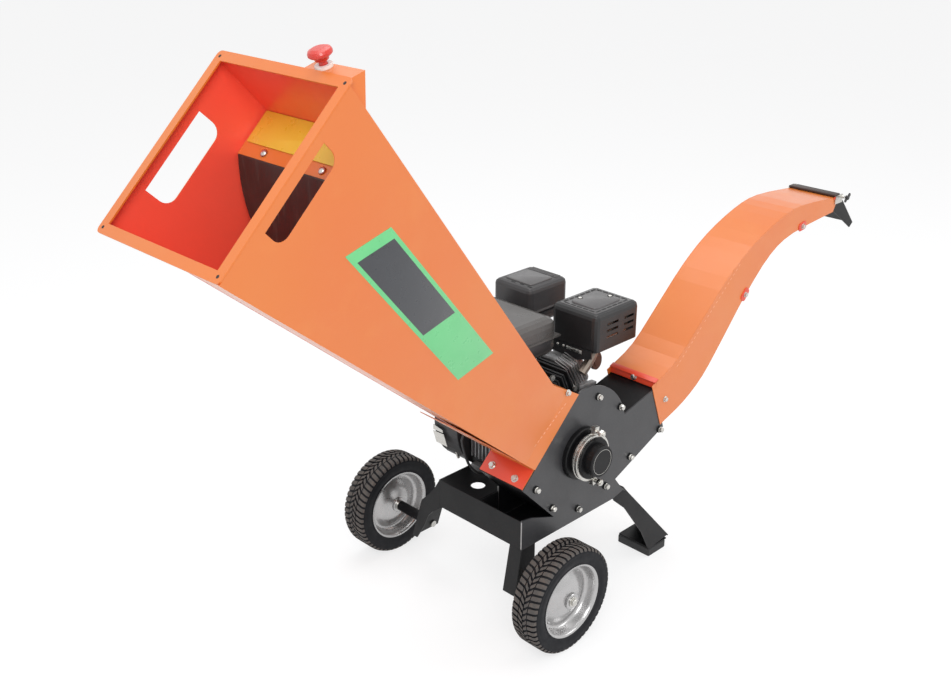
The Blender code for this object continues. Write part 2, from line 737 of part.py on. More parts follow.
def make_hopper():
    orange = ("orange_paint", ORANGE)
    inside = (0, 0, HOPPER_DEPTH / 2)
    top_out = HOPPER_DEPTH - GAP
    folds = (GAP, COLLAR_DEPTH, EAR_DEPTH, top_out)
    for side, sign, slot_at in (("near", -1, SLOT_NEAR), ("far", 1, SLOT_FAR)):
        rows = []
        for out in folds:
            y = hopper_side(out, sign)
            rows.append([(hopper_low(out, sign > 0), y, out), (hopper_high(out), y, out)])
        panel = folded_sheet("hopper_panel_" + side, rows, SHEET, orange, inside, HOPPER)
        slot = flat_mesh("slot_" + side, [slot_outline(*slot_at)], 0.06)
        y = hopper_side(slot_at[0], sign)
        boolean(panel, place(slot, "slot_" + side, None, HOPPER, (0, y, 0), UPRIGHT, smooth=False))

    def across(height, out, clear=0.0020):
        return [(height, hopper_side(out, -1) + clear, out), (height, hopper_side(out, 1) - clear, out)]

    top_rows = [across(hopper_high(out), out) for out in (top_out, EAR_DEPTH, GAP + SHEET)]
    top_rows.insert(2, across(hopper_high(COLLAR_DEPTH), COLLAR_DEPTH))
    folded_sheet("hopper_panel_top", top_rows, SHEET, orange, inside, HOPPER)

    bottom_rows = []
    for out in (top_out, COLLAR_DEPTH):
        near_end, far_end = across(0.0, out)
        bottom_rows.append([
            (hopper_low(out) + PANEL_RECESS, *near_end[1:]),
            (hopper_low(out, True) + PANEL_RECESS, *far_end[1:]),
        ])
    bottom_rows += [
        across(FOOT_LOW + PANEL_RECESS, GAP + SHEET),
        across(FLANGE_LOW + 0.002, GAP + SHEET),
    ]
    folded_sheet("hopper_panel_bottom", bottom_rows, SHEET, orange, (0.3, 0, 0.2), HOPPER)

    outer = filleted(rectangle((MOUTH_LOW, MOUTH_NEAR), (LIP_HIGH, MOUTH_FAR)), 0.010)
    opening = rectangle(
        (MOUTH_LOW + LIP_W, MOUTH_NEAR + LIP_W),
        (LIP_HIGH - LIP_W, MOUTH_FAR - LIP_W),
    )
    mesh = flat_mesh("mouth_frame", [outer, opening], 0.003)
    place(mesh, "mouth_frame", orange, HOPPER, (0, 0, HOPPER_DEPTH + 0.0015))

    high = hopper_high(BAFFLE_OUT) - SHEET - 0.0006
    baffle_rows = [across(BAFFLE_LOW, BAFFLE_OUT, 0.0025), across(high, BAFFLE_OUT, 0.0025)]
    folded_sheet("hopper_baffle", baffle_rows, SHEET, orange, (0, 0, 0), HOPPER)

    drop = SHEET + GAP - PANEL_RECESS
    guard_rows = []
    for out, hang in ((0.275, 0.004), (COLLAR_DEPTH + 0.004, 0.0)):
        height = hopper_low(out) - drop - hang
        guard_rows.append([(height, -0.058, out), (height, 0.058, out)])
    folded_sheet("engine_guard", guard_rows, SHEET, orange, (0.3, 0, 0.1), HOPPER)


def make_curtain():
    """A rubber flap with a rounded end that hangs straight down from the baffle's lower edge."""
    c, s = math.cos(HOPPER_TILT), math.sin(HOPPER_TILT)
    edge = Vector((BAFFLE_LOW - CURTAIN_DROP, BAFFLE_OUT + SHEET / 2))
    x = HOPPER_FOOT[0] + edge.x * c - edge.y * s
    z = HOPPER_FOOT[2] + edge.x * s + edge.y * c
    near = hopper_side(BAFFLE_OUT, -1) + 0.010
    far = hopper_side(BAFFLE_OUT, 1) - 0.010
    thick = CURTAIN_T
    hinge = bpy.data.objects.new("curtain_hinge", None)
    PARTS.objects.link(hinge)
    hinge.parent = ROOT
    hinge.location = (x, MID_Y, z)
    shoulder = 0.020  # full width down to here, then a half ellipse
    round_end = [
        ((near + far) / 2 + (far - near) / 2 * u, -shoulder + (CURTAIN_L - shoulder) * v)
        for u, v in arc((0, 0), 1, 0, -180, 24)
    ]
    mesh = flat_mesh("feed_curtain", [[(near, 0.0), (far, 0.0), *round_end]], thick)
    turn = Matrix(((0, 0, 1), (1, 0, 0), (0, 1, 0))).to_euler()
    curtain = place(mesh, "feed_curtain", ("curtain_rubber", RUBBER), hinge, (0, 0, 0), turn)
    roll = round_bar("curtain_roll", thick / 2, near, far, None, parent=hinge, turn=TOWARDS_FAR, steps=16)
    boolean(curtain, roll, "UNION")


STOP_Y = -0.078
STOP_BACK = (LIP_HIGH + 0.0264, HOPPER_DEPTH - 0.0140)  # the wedge's top edge at the back, up the mouth and out
STOP_FOOT_OUT = HOPPER_DEPTH - 0.0565
STOP_TILT = math.atan2(HOPPER_DEPTH - 0.0005 - STOP_BACK[1], STOP_BACK[0] - LIP_HIGH)


def make_stop_button():
    """A wedge on the top panel behind the mouth frame, with a mushroom stop button on its level face."""
    orange = ("orange_paint", ORANGE)
    front = HOPPER_DEPTH - GAP
    side = [
        (hopper_high(front) + GAP, front),
        (LIP_HIGH, front),
        STOP_BACK,
        (hopper_high(STOP_FOOT_OUT) + GAP, STOP_FOOT_OUT),
    ]
    low_y = MOUTH_NEAR + 0.010
    width = 0.118
    mesh = flat_mesh("switch_box", [side], width)
    box = place(mesh, "switch_box", orange, HOPPER, (0, low_y + width / 2, 0), UPRIGHT)
    where = {
        "parent": HOPPER,
        "at": ((LIP_HIGH + STOP_BACK[0]) / 2, STOP_Y, (front + STOP_BACK[1]) / 2),
        "turn": (0, STOP_TILT, 0),
    }
    boolean(box, round_bar("switch_well", 0.0075, -0.0140, 0.05, None, steps=20, **where))

    collar = ring_profile(0.0078, 0.0150, GAP, 0.0055)
    turned("stop_collar", collar, ("stop_white", WHITE), steps=24, ring=True, **where)
    head = [
        (0, 0.0330),
        (0.0120, 0.0326),
        (0.0185, 0.0300),
        (0.0205, 0.0262),
        (0.0205, 0.0225),
        (0.0185, 0.0203),
        (0.0125, 0.0170),
        (0.0115, 0.0130),
        (0.0076, 0.0120),
        (0.0070, 0.0110),
        (0.0070, -0.0092),
        (0, -0.0092),
    ]
    turned("stop_button", head, ("stop_red", RED), steps=28, **where)


# Chute


def make_chute():
    orange = ("orange_paint", ORANGE)
    top = smooth_line(CHUTE_TOP, 3)
    bottom = smooth_line(CHUTE_BOTTOM, 3)
    back = Vector((math.cos(NECK_ANGLE), math.sin(NECK_ANGLE))) * -CHUTE_LAP
    lap_top = tuple(Vector(top[0]) + back)
    lap_bottom = tuple(Vector(bottom[0]) + back)
    cheeks = [lap_top, *top, *reversed(bottom), lap_bottom]
    side_plate("chute_side_near", [cheeks], NEAR_Y - SHEET - GAP, SHEET, orange)
    side_plate("chute_side_far", [cheeks], FAR_Y + GAP, SHEET, orange)
    inside = (0.43, MID_Y, 0.44)
    folded_sheet("chute_panel_top", strip_rows(top, NEAR_Y, FAR_Y), SHEET, orange, inside)
    folded_sheet("chute_panel_bottom", strip_rows(bottom, NEAR_Y, FAR_Y), SHEET, orange, inside)


FLAP_L = 0.136
FLAP_DROP = math.radians(-47)


def make_deflector():
    """A plate with side wings, hinged on a pin across the top of the chute's outlet."""
    pin_x = CHUTE_TOP[-1][0] + 0.010
    pin_z = CHUTE_TOP[-1][1]
    hinge = bpy.data.objects.new("deflector_hinge", None)
    PARTS.objects.link(hinge)
    hinge.parent = ROOT
    hinge.location = (pin_x, MID_Y, pin_z)
    hinge.rotation_euler = (0, -FLAP_DROP, 0)
    black = ("black_paint", BLACK)
    half = CHAMBER_W / 2 + SHEET + GAP
    at = (pin_x, MID_Y, pin_z)
    reach = half + 0.012
    bar = round_bar("deflector_pin", 0.004, -reach, reach, ("zinc", ZINC), at=at, turn=TOWARDS_FAR, steps=16)
    for i, low in enumerate((-half - 0.0033, half + GAP)):
        ear = block("pin_ear_%d" % i, (-0.0300, low, -0.016), (0.0065, low + 0.003, 0.0065), None, at=at)
        boolean(bar, ear, "UNION")
    inner = half - 0.0055
    plate = block("deflector_flap", (0.002, -inner, 0.0046), (FLAP_L, inner, 0.0068), black, parent=hinge)
    for i, y in enumerate((-inner, inner - 0.002)):
        wing = [(-0.003, 0.0060), (FLAP_L - 0.0005, 0.0060), (FLAP_L - 0.0015, -0.0120), (-0.0020, -0.0440)]
        side = side_plate("wing_%d" % i, [wing], y + 0.0001 - 0.0002 * i, 0.002, None, hinge)
        boolean(plate, side, "UNION")
    knuckle = turned("flap_knuckle", ring_profile(0.0043, 0.0075, -inner, inner), None, hinge, turn=TOWARDS_FAR, steps=16, ring=True)
    boolean(plate, knuckle, "UNION")
    bore = round_bar("flap_bore", 0.0043, -0.2, 0.2, None, parent=hinge, turn=TOWARDS_FAR, steps=16)
    boolean(plate, bore)


# Engine: the crankshaft's axis is the rotor's


def make_engine():
    cast = ("engine_cast", CAST)
    face = FAR_Y + 0.001
    x, z = SHAFT_X, SHAFT_Z
    case_far = face + CASE_DEPTH
    base = TABLE_Z + GAP
    bore = round_bar("case_bore", SHAFT_R + 0.003, -0.3, 0.4, None, at=(x, 0, z), turn=TOWARDS_FAR, steps=24)
    case = block("crankcase", (x - 0.080, face, base), (x + 0.078, case_far, z + 0.072), cast, bevel=0.012)
    foot = block("case_foot", (x - 0.098, face + 0.016, base), (x + 0.098, case_far - 0.016, base + 0.0145), None)
    boolean(case, foot, "UNION")
    lean = (0, -CYLINDER_LEAN, 0)
    mid = (face + case_far) / 2
    deck = block("case_deck", (0.030, -0.050, -0.046), (0.1037, 0.050, 0.046), None, at=(x, mid, z), turn=lean)
    boolean(case, deck, "UNION")
    boolean(case, bore)

    make_cylinder(x, z, face, case_far)
    make_shroud(x, z, case_far)
    make_tank(x, z)
    make_intake_and_exhaust()
    make_small_controls(x, z, case_far)


CYLINDER_LEAN = math.radians(25)
CYLINDER_HALF = 0.052


def make_cylinder(x, z, face, case_far):
    """The finned barrel leans 25 degrees up from level, towards the chute; the head closes its end."""
    turn = (0, -CYLINDER_LEAN, 0)
    mid = (face + case_far) / 2
    at = (x, mid, z)
    root = 0.104
    barrel = block("cylinder", (root, -0.040, -0.040), (0.170, 0.040, 0.040), ("engine_black", PLASTIC), at=at, turn=turn, bevel=0.010)
    fins = 6
    pitch = 0.0105
    for i in range(fins):
        start = root + 0.004 + i * pitch
        half = CYLINDER_HALF + (0.004 if i % 2 == 0 else 0.0)
        fin = block("fin_%d" % i, (start, -half, -half), (start + 0.004, half, half), None, at=at, turn=turn)
        boolean(barrel, fin, "UNION")
    where = {"at": at, "turn": turn}
    head = block("cylinder_head", (0.1703, -0.052, -0.052), (0.198, 0.052, 0.052), cast_look(), bevel=0.006, **where)
    cover = block("rocker_cover", (0.195, -0.040, -0.044), (0.226, 0.040, 0.044), None, bevel=0.010, **where)
    boolean(head, cover, "UNION")


def cast_look():
    return ("engine_cast", CAST)


def make_shroud(x, z, case_far):
    """The fan housing: round, with a duct that blows over the cylinder; the recoil starter closes it."""
    low = case_far + GAP
    depth = SHROUD_DEPTH
    ring = arc((x, z), SHROUD_R, 112, 304, 20)
    duct = [(x + 0.150, z - 0.050), (x + 0.172, z + 0.010), (x + 0.150, z + 0.095)]
    mesh = flat_mesh("fan_shroud", [ring + duct], depth)
    shroud = place(mesh, "fan_shroud", ("engine_black", PLASTIC), at=(0, low + depth / 2, 0), turn=UPRIGHT)
    soften = shroud.modifiers.new("rounding", "BEVEL")
    soften.width = 0.006
    soften.segments = 2
    soften.limit_method = "ANGLE"
    soften.angle_limit = math.radians(50)
    well = round_bar("fan_well", 0.092, -0.060, 0.2, None, at=(x, low + depth, z), turn=TOWARDS_FAR, steps=40)
    boolean(shroud, well)
    hole = round_bar("shroud_hole", 0.018, -0.3, 0.1, None, at=(x, low + depth, z), turn=TOWARDS_FAR, steps=24)
    boolean(shroud, hole)

    top = low + depth
    fan = [
        (SHAFT_R - 0.003 + GAP, -0.020),
        (0.040, -0.020),
        (0.042, -0.034),
        (0.082, -0.034),
        (0.082, -0.048),
        (SHAFT_R - 0.003 + GAP, -0.048),
    ]
    wheel = turned("fan_flywheel", fan, cast_look(), at=(x, top, z), turn=TOWARDS_FAR, steps=32, ring=True)
    for i in range(10):
        turn = Matrix.Rotation(math.radians(36 * i), 4, "Y")
        blade = block("fan_blade_%d" % i, (0.050, -0.036, -0.002), (0.080, -0.012, 0.002), None, at=(x, top, z))
        blade.rotation_euler = turn.to_euler()
        boolean(wheel, blade, "UNION")

    cover = [
        (0, 0.050),
        (0.050, 0.050),
        (0.068, 0.046),
        (0.090, 0.027),
        (RECOIL_R, 0.012),
        (RECOIL_R + 0.004, 0.006),
        (RECOIL_R + 0.004, GAP),
        (0.088, GAP),
        (0.085, 0.022),
        (0.064, 0.042),
        (0.048, 0.046),
        (0.0052, 0.046),
        (0.0052, 0.018),
        (0, 0.018),
    ]
    recoil = turned("recoil_cover", cover, ("engine_black", PLASTIC), at=(x, top, z), turn=TOWARDS_FAR, steps=32)
    for i in range(12):
        if i in (2, 3):
            continue
        vent = block("vent_%d" % i, (0.058, 0.010, -0.0045), (0.078, 0.060, 0.0045), None, at=(x, top, z))
        vent.rotation_euler = Matrix.Rotation(math.radians(30 * i), 4, "Y").to_euler()
        boolean(recoil, vent)
    rope_angle = math.radians(150)
    mouth_turn = Matrix.Rotation(-rope_angle, 4, "Y")
    eyelet = round_bar(
        "rope_eyelet",
        0.010,
        0.078,
        RECOIL_R + 0.0055,
        None,
        at=(x, top + 0.026, z),
        turn=(0, math.radians(90) - rope_angle, 0),
        steps=16,
    )
    boolean(recoil, eyelet, "UNION")
    port = round_bar("rope_port", 0.0026, 0.06, 0.13, None, at=(x, top + 0.026, z), turn=(0, math.radians(90) - rope_angle, 0), steps=16)
    boolean(recoil, port)
    pulley = [
        (0.0056, 0.036),
        (0.052, 0.036),
        (0.052, 0.033),
        (0.046, 0.030),
        (0.046, 0.026),
        (0.052, 0.022),
        (0.052, 0.019),
        (0.0056, 0.019),
    ]
    turned("starter_pulley", pulley, ("plastic_white", WHITE), at=(x, top, z), turn=TOWARDS_FAR, steps=28, ring=True)
    direction = mouth_turn @ Vector((1, 0, 0))
    start = Vector((x, top + 0.026, z)) + direction * (RECOIL_R + 0.0058)
    grip = block("pull_handle", (0, -0.022, -0.010), (0.018, 0.034, 0.010), ("engine_black", PLASTIC), at=start, bevel=0.006)
    grip.rotation_euler = mouth_turn.to_euler()
    rope = round_bar("pull_rope", 0.0022, -0.040, 0.004, None, at=start, turn=(0, math.radians(90) - rope_angle, 0), steps=12)
    boolean(grip, rope, "UNION")


def make_tank(x, z):
    """The fuel tank sits over the crankcase and the fan housing."""
    low = (x - 0.105, FAR_Y + 0.040, z + 0.153)
    high = (x + 0.112, FAR_Y + 0.270, z + 0.247)
    tank = block("fuel_tank", low, high, ("tank_grey", GREY), bevel=0.022, segments=3)
    seam = block("tank_seam", (low[0] - 0.005, low[1] - 0.005, z + 0.198), (high[0] + 0.005, high[1] + 0.005, z + 0.202), None)
    boolean(tank, seam, "UNION")
    for i, u in enumerate((-0.060, -0.010)):
        at = (x + u, FAR_Y + 0.080, z + 0.0725)
        boolean(tank, round_bar("tank_post_%d" % i, 0.009, 0, 0.097, None, at=at, steps=12), "UNION")
    at = (x - 0.030, FAR_Y + 0.165, high[2])
    neck = round_bar("tank_neck", 0.024, -0.004, 0.008, None, at=at, steps=24)
    boolean(tank, neck, "UNION")
    cap = [
        (0, 0.030),
        (0.024, 0.030),
        (0.028, 0.027),
        (0.0295, 0.022),
        (0.0295, 0.002),
        (0.0250, 0.002),
        (0.0250, 0.008 + GAP),
        (0, 0.008 + GAP),
    ]
    turned("fuel_cap", cap, ("cap_black", PLASTIC), at=at, steps=24)


GUARD_LOW = (0.281, FAR_Y - 0.043, 0.575)
GUARD_HIGH = (0.440, FAR_Y + 0.097, 0.668)
GUARD_SCREWS = ((0.3425, FAR_Y + 0.0606), (0.4036, FAR_Y + 0.0189))
CLEANER_LOW = (0.272, FAR_Y + 0.157, 0.587)
CLEANER_HIGH = (0.405, FAR_Y + 0.277, 0.684)
CARB_FAR = FAR_Y + 0.215  # the carburettor's far side, with the choke and the fuel tap on it


def make_intake_and_exhaust():
    """The muffler under its louvred guard, and the air cleaner with the carburettor below it."""
    skirt = (GUARD_LOW[0], GUARD_LOW[1], GUARD_LOW[2] - 0.02)
    guard = block("muffler_guard", skirt, GUARD_HIGH, ("guard_black", PLASTIC), bevel=0.014, segments=3)
    trim = block("guard_trim", (0.2, -0.2, skirt[2] - 0.02), (0.5, 0.1, GUARD_LOW[2]), None)
    boolean(guard, trim)
    wall = 0.002
    hollow_low = (GUARD_LOW[0] + wall, GUARD_LOW[1] + wall, GUARD_LOW[2] - 0.04)
    hollow_high = (GUARD_HIGH[0] - wall, GUARD_HIGH[1] - wall, GUARD_HIGH[2] - wall)
    boolean(guard, block("guard_hollow", hollow_low, hollow_high, None, bevel=0.012, segments=2))
    for row in range(3):
        z = GUARD_LOW[2] + 0.028 + row * 0.016
        for k, (start, width) in enumerate(((0.040, 0.041), (0.103, 0.035))):
            slot_low = (GUARD_LOW[0] + start, GUARD_LOW[1] - 0.01, z)
            slot_high = (GUARD_LOW[0] + start + width, GUARD_LOW[1] + 0.01, z + 0.006)
            boolean(guard, block("louvre_%d_%d" % (row, k), slot_low, slot_high, None))
    inset = 0.010
    muffler = block(
        "muffler",
        (GUARD_LOW[0] + inset, GUARD_LOW[1] + inset, GUARD_LOW[2] + 0.012),
        (GUARD_HIGH[0] - inset, GUARD_HIGH[1] - inset, GUARD_HIGH[2] - inset),
        ("muffler_steel", STEEL),
        bevel=0.020,
        segments=3,
    )
    bends = [(0.345, 0.0150, 0.600), (0.343, 0.0070, 0.570), (0.322, 0.0015, 0.542), (0.288, 0.0017, 0.511)]
    pipe = smooth_line([(u, FAR_Y + v, w) for u, v, w in bends], 3)
    boolean(muffler, tube("pipe", pipe, 0.012, None, resolution=3), "UNION")
    boss_top = GUARD_HIGH[2] - wall - GAP
    for i, (u, v) in enumerate(GUARD_SCREWS):
        boss = round_bar("guard_boss_%d" % i, 0.007, boss_top - 0.03, boss_top, None, at=(u, v, 0), steps=16)
        boolean(muffler, boss, "UNION")

    lid_z = CLEANER_LOW[2] + 0.025
    base = block("air_cleaner_base", CLEANER_LOW, (CLEANER_HIGH[0], CLEANER_HIGH[1], lid_z - GAP), ("box_black", PLASTIC), bevel=0.008)
    lid = block("air_cleaner_cover", (CLEANER_LOW[0] - 0.002, CLEANER_LOW[1] - 0.002, lid_z), (CLEANER_HIGH[0] + 0.002, CLEANER_HIGH[1] + 0.002, CLEANER_HIGH[2]), ("box_black", PLASTIC), bevel=0.013, segments=3)
    carb = block("carburettor", (0.306, FAR_Y + 0.169, 0.515), (0.362, CARB_FAR, CLEANER_LOW[2] - GAP), cast_look(), bevel=0.004)
    bowl = round_bar("float_bowl", 0.020, -0.028, 0.004, None, at=(0.337, FAR_Y + 0.192, 0.515), steps=20)
    boolean(carb, bowl, "UNION")
    port = (0.308, FAR_Y + 0.085, 0.512)
    boolean(carb, round_bar("intake", 0.0135, 0.0333, 0.090, None, at=port, turn=TOWARDS_FAR, steps=20), "UNION")
    return base, lid


def lever(name, at, turn, length, half_width, look):
    """A flat lever round local Z: an arm along local X with its pivot pin and a knob near the tip."""
    low = (-half_width, -half_width, -0.0015)
    high = (length, half_width, 0.0015)
    piece = block(name, low, high, look, at=at, turn=turn)
    boolean(piece, round_bar(name + "_pin", half_width * 0.6, -0.0055, 0.0035, None, at=at, turn=turn, steps=12), "UNION")
    knob = block(
        name + "_knob",
        (length - 0.011, -half_width * 0.8, -0.0010),
        (length - 0.001, half_width * 0.8, 0.0085),
        None,
        at=at,
        turn=turn,
        bevel=0.0012,
        segments=1,
    )
    boolean(piece, knob, "UNION")
    return piece


def make_small_controls(x, z, case_far):
    """Throttle, choke and fuel tap on the side away from the rotor, and the engine switch on the shroud."""
    black = ("lever_black", PLASTIC)
    grey = ("plate_grey", GREY)
    side_y = CARB_FAR + GAP + 0.0015 + 0.004
    lever("choke_lever", (0.350, side_y, 0.565), TOWARDS_FAR, 0.034, 0.005, grey)
    to_hopper = (math.radians(90), 0, math.radians(180))
    lever("fuel_tap_lever", (0.322, side_y, 0.530), to_hopper, 0.034, 0.005, black)
    lever("throttle_lever", (0.256, FAR_Y + 0.195, z + 0.1045), (0, 0, math.radians(90)), 0.040, 0.005, grey)
    face = case_far + GAP + SHROUD_DEPTH
    at = (x + 0.134, face, z + 0.070)
    pocket = block("switch_pocket", (-0.0088, -0.004, -0.0128), (0.0088, 0.02, 0.0128), None, at=at)
    boolean(bpy.data.objects["fan_shroud"], pocket)
    block("engine_switch", (-0.008, -0.0025, -0.012), (0.008, 0.0035, 0.012), ("stop_red", RED), at=at, bevel=0.0015)


make_wheel("near", -1, -0.178)
make_wheel("far", 1, 0.128)
make_base()
make_chamber()
make_rotor()
make_bearing()
make_hopper()
make_curtain()
make_stop_button()
make_chute()
make_deflector()
make_engine()


def centre_on_floor():
    """Moves the machine so that the middle of its box stands on the origin."""
    bpy.context.view_layer.update()
    graph = bpy.context.evaluated_depsgraph_get()
    low = Vector((1e9, 1e9, 1e9))
    high = -low
    for obj in PARTS.objects:
        if obj.type != "MESH":
            continue
        evaluated = obj.evaluated_get(graph)
        mesh = evaluated.to_mesh()
        for vertex in mesh.vertices:
            point = evaluated.matrix_world @ vertex.co
            low = Vector(map(min, low, point))
            high = Vector(map(max, high, point))
        evaluated.to_mesh_clear()
    ROOT.location = (-(low.x + high.x) / 2, -(low.y + high.y) / 2, -low.z)
    bpy.context.view_layer.update()


centre_on_floor()
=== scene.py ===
import json
import math

import bmesh
import bpy
from mathutils import Matrix, Vector


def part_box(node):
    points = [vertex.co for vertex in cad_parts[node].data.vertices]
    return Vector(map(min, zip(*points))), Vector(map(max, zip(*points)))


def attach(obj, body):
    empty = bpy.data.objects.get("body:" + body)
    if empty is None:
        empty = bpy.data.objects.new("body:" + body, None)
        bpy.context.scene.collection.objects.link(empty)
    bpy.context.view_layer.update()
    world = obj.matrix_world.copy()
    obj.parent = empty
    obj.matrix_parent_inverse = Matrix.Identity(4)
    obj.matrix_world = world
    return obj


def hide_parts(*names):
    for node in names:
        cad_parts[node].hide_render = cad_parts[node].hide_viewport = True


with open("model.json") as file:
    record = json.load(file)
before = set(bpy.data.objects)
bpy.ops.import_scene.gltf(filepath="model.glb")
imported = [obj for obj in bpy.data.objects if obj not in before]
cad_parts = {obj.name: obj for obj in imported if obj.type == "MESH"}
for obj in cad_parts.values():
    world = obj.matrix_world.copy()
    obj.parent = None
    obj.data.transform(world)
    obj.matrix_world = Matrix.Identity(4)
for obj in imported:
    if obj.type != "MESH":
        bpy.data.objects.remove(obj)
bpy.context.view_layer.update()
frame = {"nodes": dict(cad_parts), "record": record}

# The machine's sizes in metres, with x measured from the wheels' axis
WHEELS_X = (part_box("tyre_near")[0][0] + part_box("tyre_near")[1][0]) / 2
SHIFT = Matrix.Translation((WHEELS_X, 0, 0))
NEAR_Y = -0.219
FAR_Y = -0.085
MID_Y = (NEAR_Y + FAR_Y) / 2
SHAFT = (0.131, 0.411)
WHEEL_Y = 0.2885
WHEEL_R = 0.127
TILT = math.radians(44.5)
HOPPER = Matrix.Translation((0.0499, MID_Y, 0.4914)) @ Matrix.Rotation(-TILT, 4, "Y")
HOPPER_DEPTH = 1.0315
COLLAR = 0.040  # where the hopper's flare begins, out from its foot
FOOT_HALF = 0.067
MOUTH_UP = (-0.2043, 0.1671)
MOUTH_Y = (-0.1695, 0.1865)
BAFFLE_OUT = 0.9060
OUTWARD = (-math.sin(TILT), 0, math.cos(TILT))  # the hopper's axis
TO_NEAR = Matrix.Rotation(math.radians(90), 4, "X")
TO_FAR = Matrix.Rotation(math.radians(-90), 4, "X")
SHEET = 0.0018  # how far the near sheets' faces stand off the near plate's face


# Camera, floor and light

FOCAL_PX = 1178.79
FRAME_PX = 951
SENSOR = 36
CAMERA_AT = (-1.9008, -1.7107, 1.6775)
CAMERA_AIM = (-0.2091, 0, 0.6279)
FLOOR_GAP = 0.0006  # the floor lies this far under the tyres and feet


def set_camera():
    data = bpy.data.cameras.new("camera")
    data.sensor_width = SENSOR
    data.lens = FOCAL_PX / FRAME_PX * SENSOR
    data.clip_end = 60
    camera = bpy.data.objects.new("camera", data)
    bpy.context.scene.collection.objects.link(camera)
    camera.location = CAMERA_AT
    aim = Vector(CAMERA_AIM) - camera.location
    camera.rotation_euler = aim.to_track_quat("-Z", "Y").to_euler()
    bpy.context.scene.camera = camera


def backdrop_ray(nodes, links):
    """1 for rays that show the background: camera, glossy and transmission."""
    path = nodes.new("ShaderNodeLightPath")
    first = nodes.new("ShaderNodeMath")
    first.operation = "MAXIMUM"
    links.new(path.outputs["Is Camera Ray"], first.inputs[0])
    links.new(path.outputs["Is Glossy Ray"], first.inputs[1])
    second = nodes.new("ShaderNodeMath")
    second.operation = "MAXIMUM"
    links.new(first.outputs[0], second.inputs[0])
    links.new(path.outputs["Is Transmission Ray"], second.inputs[1])
    return second.outputs[0]


def set_world():
    world = bpy.data.worlds.new("world")
    bpy.context.scene.world = world
    world.use_nodes = True
    nodes, links = world.node_tree.nodes, world.node_tree.links
    nodes.clear()
    out = nodes.new("ShaderNodeOutputWorld")
    mix = nodes.new("ShaderNodeMixShader")
    light = nodes.new("ShaderNodeBackground")
    light.inputs["Color"].default_value = (1.0, 1.0, 1.0, 1)
    light.inputs["Strength"].default_value = 0.62
    seen = nodes.new("ShaderNodeBackground")
    seen.inputs["Color"].default_value = (1, 1, 1, 1)
    seen.inputs["Strength"].default_value = 1.0
    links.new(backdrop_ray(nodes, links), mix.inputs["Fac"])
    links.new(light.outputs[0], mix.inputs[1])
    links.new(seen.outputs[0], mix.inputs[2])
    links.new(mix.outputs[0], out.inputs["Surface"])


def area_light(name, place, target, size, power):
    data = bpy.data.lights.new(name, "AREA")
    data.shape = "DISK"
    data.size = size
    data.energy = power
    lamp = bpy.data.objects.new(name, data)
    bpy.context.scene.collection.objects.link(lamp)
    lamp.location = place
    lamp.rotation_euler = (Vector(target) - Vector(place)).to_track_quat("-Z", "Y").to_euler()
    lamp.visible_camera = False


def set_light():
    set_world()
    area_light("softbox_left", (-2.6, -2.4, 3.2), (-0.1, 0, 0.5), 2.2, 75)
    area_light("softbox_right", (2.4, -2.8, 2.4), (0.1, -0.1, 0.5), 2.0, 30)
    area_light("softbox_top", (0.3, 0.6, 4.0), (0, 0, 0.4), 3.0, 45)


def make_floor():
    mesh = bpy.data.meshes.new("floor")
    reach = 14
    corners = [(-reach, -reach, 0), (reach, -reach, 0), (reach, reach, 0), (-reach, reach, 0)]
    mesh.from_pydata(corners, [], [(0, 1, 2, 3)])
    floor = bpy.data.objects.new("floor", mesh)
    bpy.context.scene.collection.objects.link(floor)
    floor.location = (0, 0, -FLOOR_GAP)
    mat = bpy.data.materials.new("floor_white")
    mat.use_nodes = True
    nodes, links = mat.node_tree.nodes, mat.node_tree.links
    nodes.clear()
    out = nodes.new("ShaderNodeOutputMaterial")
    lit = nodes.new("ShaderNodeBsdfDiffuse")
    lit.inputs["Color"].default_value = (0.86, 0.86, 0.87, 1)
    glow = nodes.new("ShaderNodeEmission")
    glow.inputs["Color"].default_value = (1, 1, 1, 1)
    glow.inputs["Strength"].default_value = 1.15
    mix = nodes.new("ShaderNodeMixShader")
    share = nodes.new("ShaderNodeMath")
    share.operation = "MULTIPLY"
    share.inputs[1].default_value = 0.62
    links.new(backdrop_ray(nodes, links), share.inputs[0])
    links.new(share.outputs[0], mix.inputs["Fac"])
    links.new(lit.outputs[0], mix.inputs[1])
    links.new(glow.outputs[0], mix.inputs[2])
    links.new(mix.outputs[0], out.inputs["Surface"])
    mesh.materials.append(mat)


# Materials


